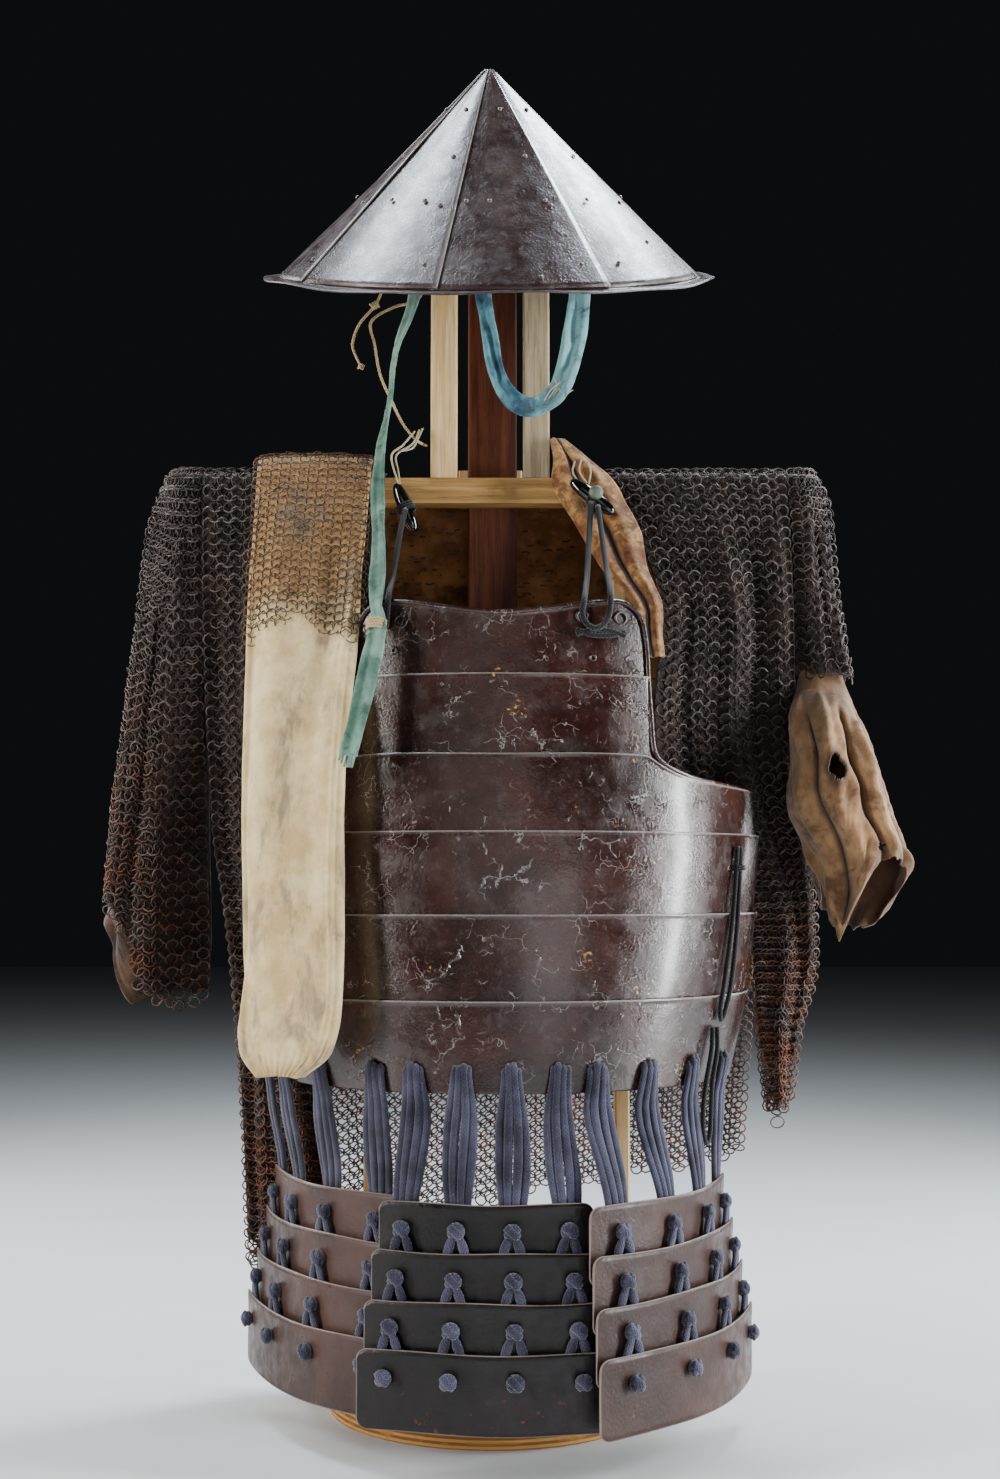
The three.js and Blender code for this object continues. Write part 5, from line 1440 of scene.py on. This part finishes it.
# thickness, material, slot and routes of each set of threads
threadSets = {
    "right_toggle_threads": (0.9, thread, "tan_twine", [
        [(74, -32, 832), (72, -36, 822), (76, -42, 812)], [(80, -32, 834), (78, -37, 822), (84, -44, 810)],
        [(86, -30, 832), (88, -38, 822), (86, -44, 809)]]),
    "left_toggle_threads": (1.0, thread, "tan_twine", [
        [(-63, -16, 866), (-68, -20, 854), (-72, -24, 846), (-84, -28, 842)],
        [(-66, -18, 864), (-72, -24, 850), (-86, -30, 838), (-84, -32, 822), (-82, -34, 806)],
        [(-70, -22, 862), (-80, -28, 848), (-90, -32, 838), (-86, -34, 818), (-80, -35, 802)]]),
    "chest_braid": (2.4, blackCord, "black_cord", [
        onCuirass([(17.5, 664, 6.4), (21, 660, 7), (26, 660, 7), (30, 664, 6.4)]),
        onCuirass([(17.5, 660, 6.8), (21, 664, 7.4), (26, 664, 7.4), (30, 660, 6.8)])]),
    "chin_strap_fray": (0.5, thread, "blue_cloth", [
        [(54, -61, 884), (58, -62, 890), (62, -62, 888)], [(50, -61, 882), (57, -63, 893), (55, -63, 899)],
        [(60, -61, 890), (66, -63, 886), (71, -62, 889)],
        [(46, -61, 880), (52, -63, 889), (60, -63, 896)]])}


def spindle(name, start, end):  # a pointed oval stick
    start, end = np.array(start, float), np.array(end, float)
    t = np.linspace(0.006, 0.994, 34)
    path = start + np.outer((1 - np.cos(pi * t)) / 2, end - start)
    radius = toggleThick / 2 * np.sin(pi * t) ** 0.7
    side = unit(np.cross(end - start, (0.0, 1.0, 0.0)))
    bands(name + "_horn", path[None], np.broadcast_to(side, path.shape)[None], radius, radius, 24, horn,
          "black_horn", (name,))


def tie(name, centre, along, radius, turns, length, thick, kind):  # a few turns of thread
    centre, along = np.array(centre, float), unit(np.array(along, float))
    side = unit(np.cross(along, (0.3, 1.0, 0.2)))
    other = np.cross(along, side)
    t = np.linspace(0, 1, 16 * turns)
    angle = 2 * pi * turns * t
    path = (centre + np.outer(np.cos(angle) * radius, side) + np.outer(np.sin(angle) * radius, other)
            + np.outer((t - 0.5) * length, along))
    bands(name, path[None], np.broadcast_to(along, path.shape)[None], thick, thick, 6, *cordKinds[kind][1:])


def threads(name, thick, material, slot, routes):
    paths = np.array([smooth(route, 26) for route in routes])
    bands(name, paths, np.broadcast_to((0.0, 1.0, 0.05), paths.shape), thick, thick, 6, material, slot)


def details():
    for build, sets in ((spindle, toggles), (tie, ties), (threads, threadSets)):
        for name, facts in sets.items():
            build(name, *facts)
    east = np.array([(1.0, 0, 0)])
    domes("right_toggle_boss", np.array([boss["at"]]), east, np.array([(0.0, -1, 0)]), boss["size"], stone,
          "black_horn", full=True, around=24, up=13)
    rings("loose_ring", np.array([looseRing["at"]]), east, np.array([looseRing["down"]]), 0.0,
          looseRing["radius"], looseRing["wire"], mailIron, "mail", {"rust": np.array([looseRing["rust"]])},
          parts=16, sides=5)


sock()
for name, facts in strapTable.items():
    strap(name, *facts)
details()
print("sock, straps and toggles ready", flush=True)
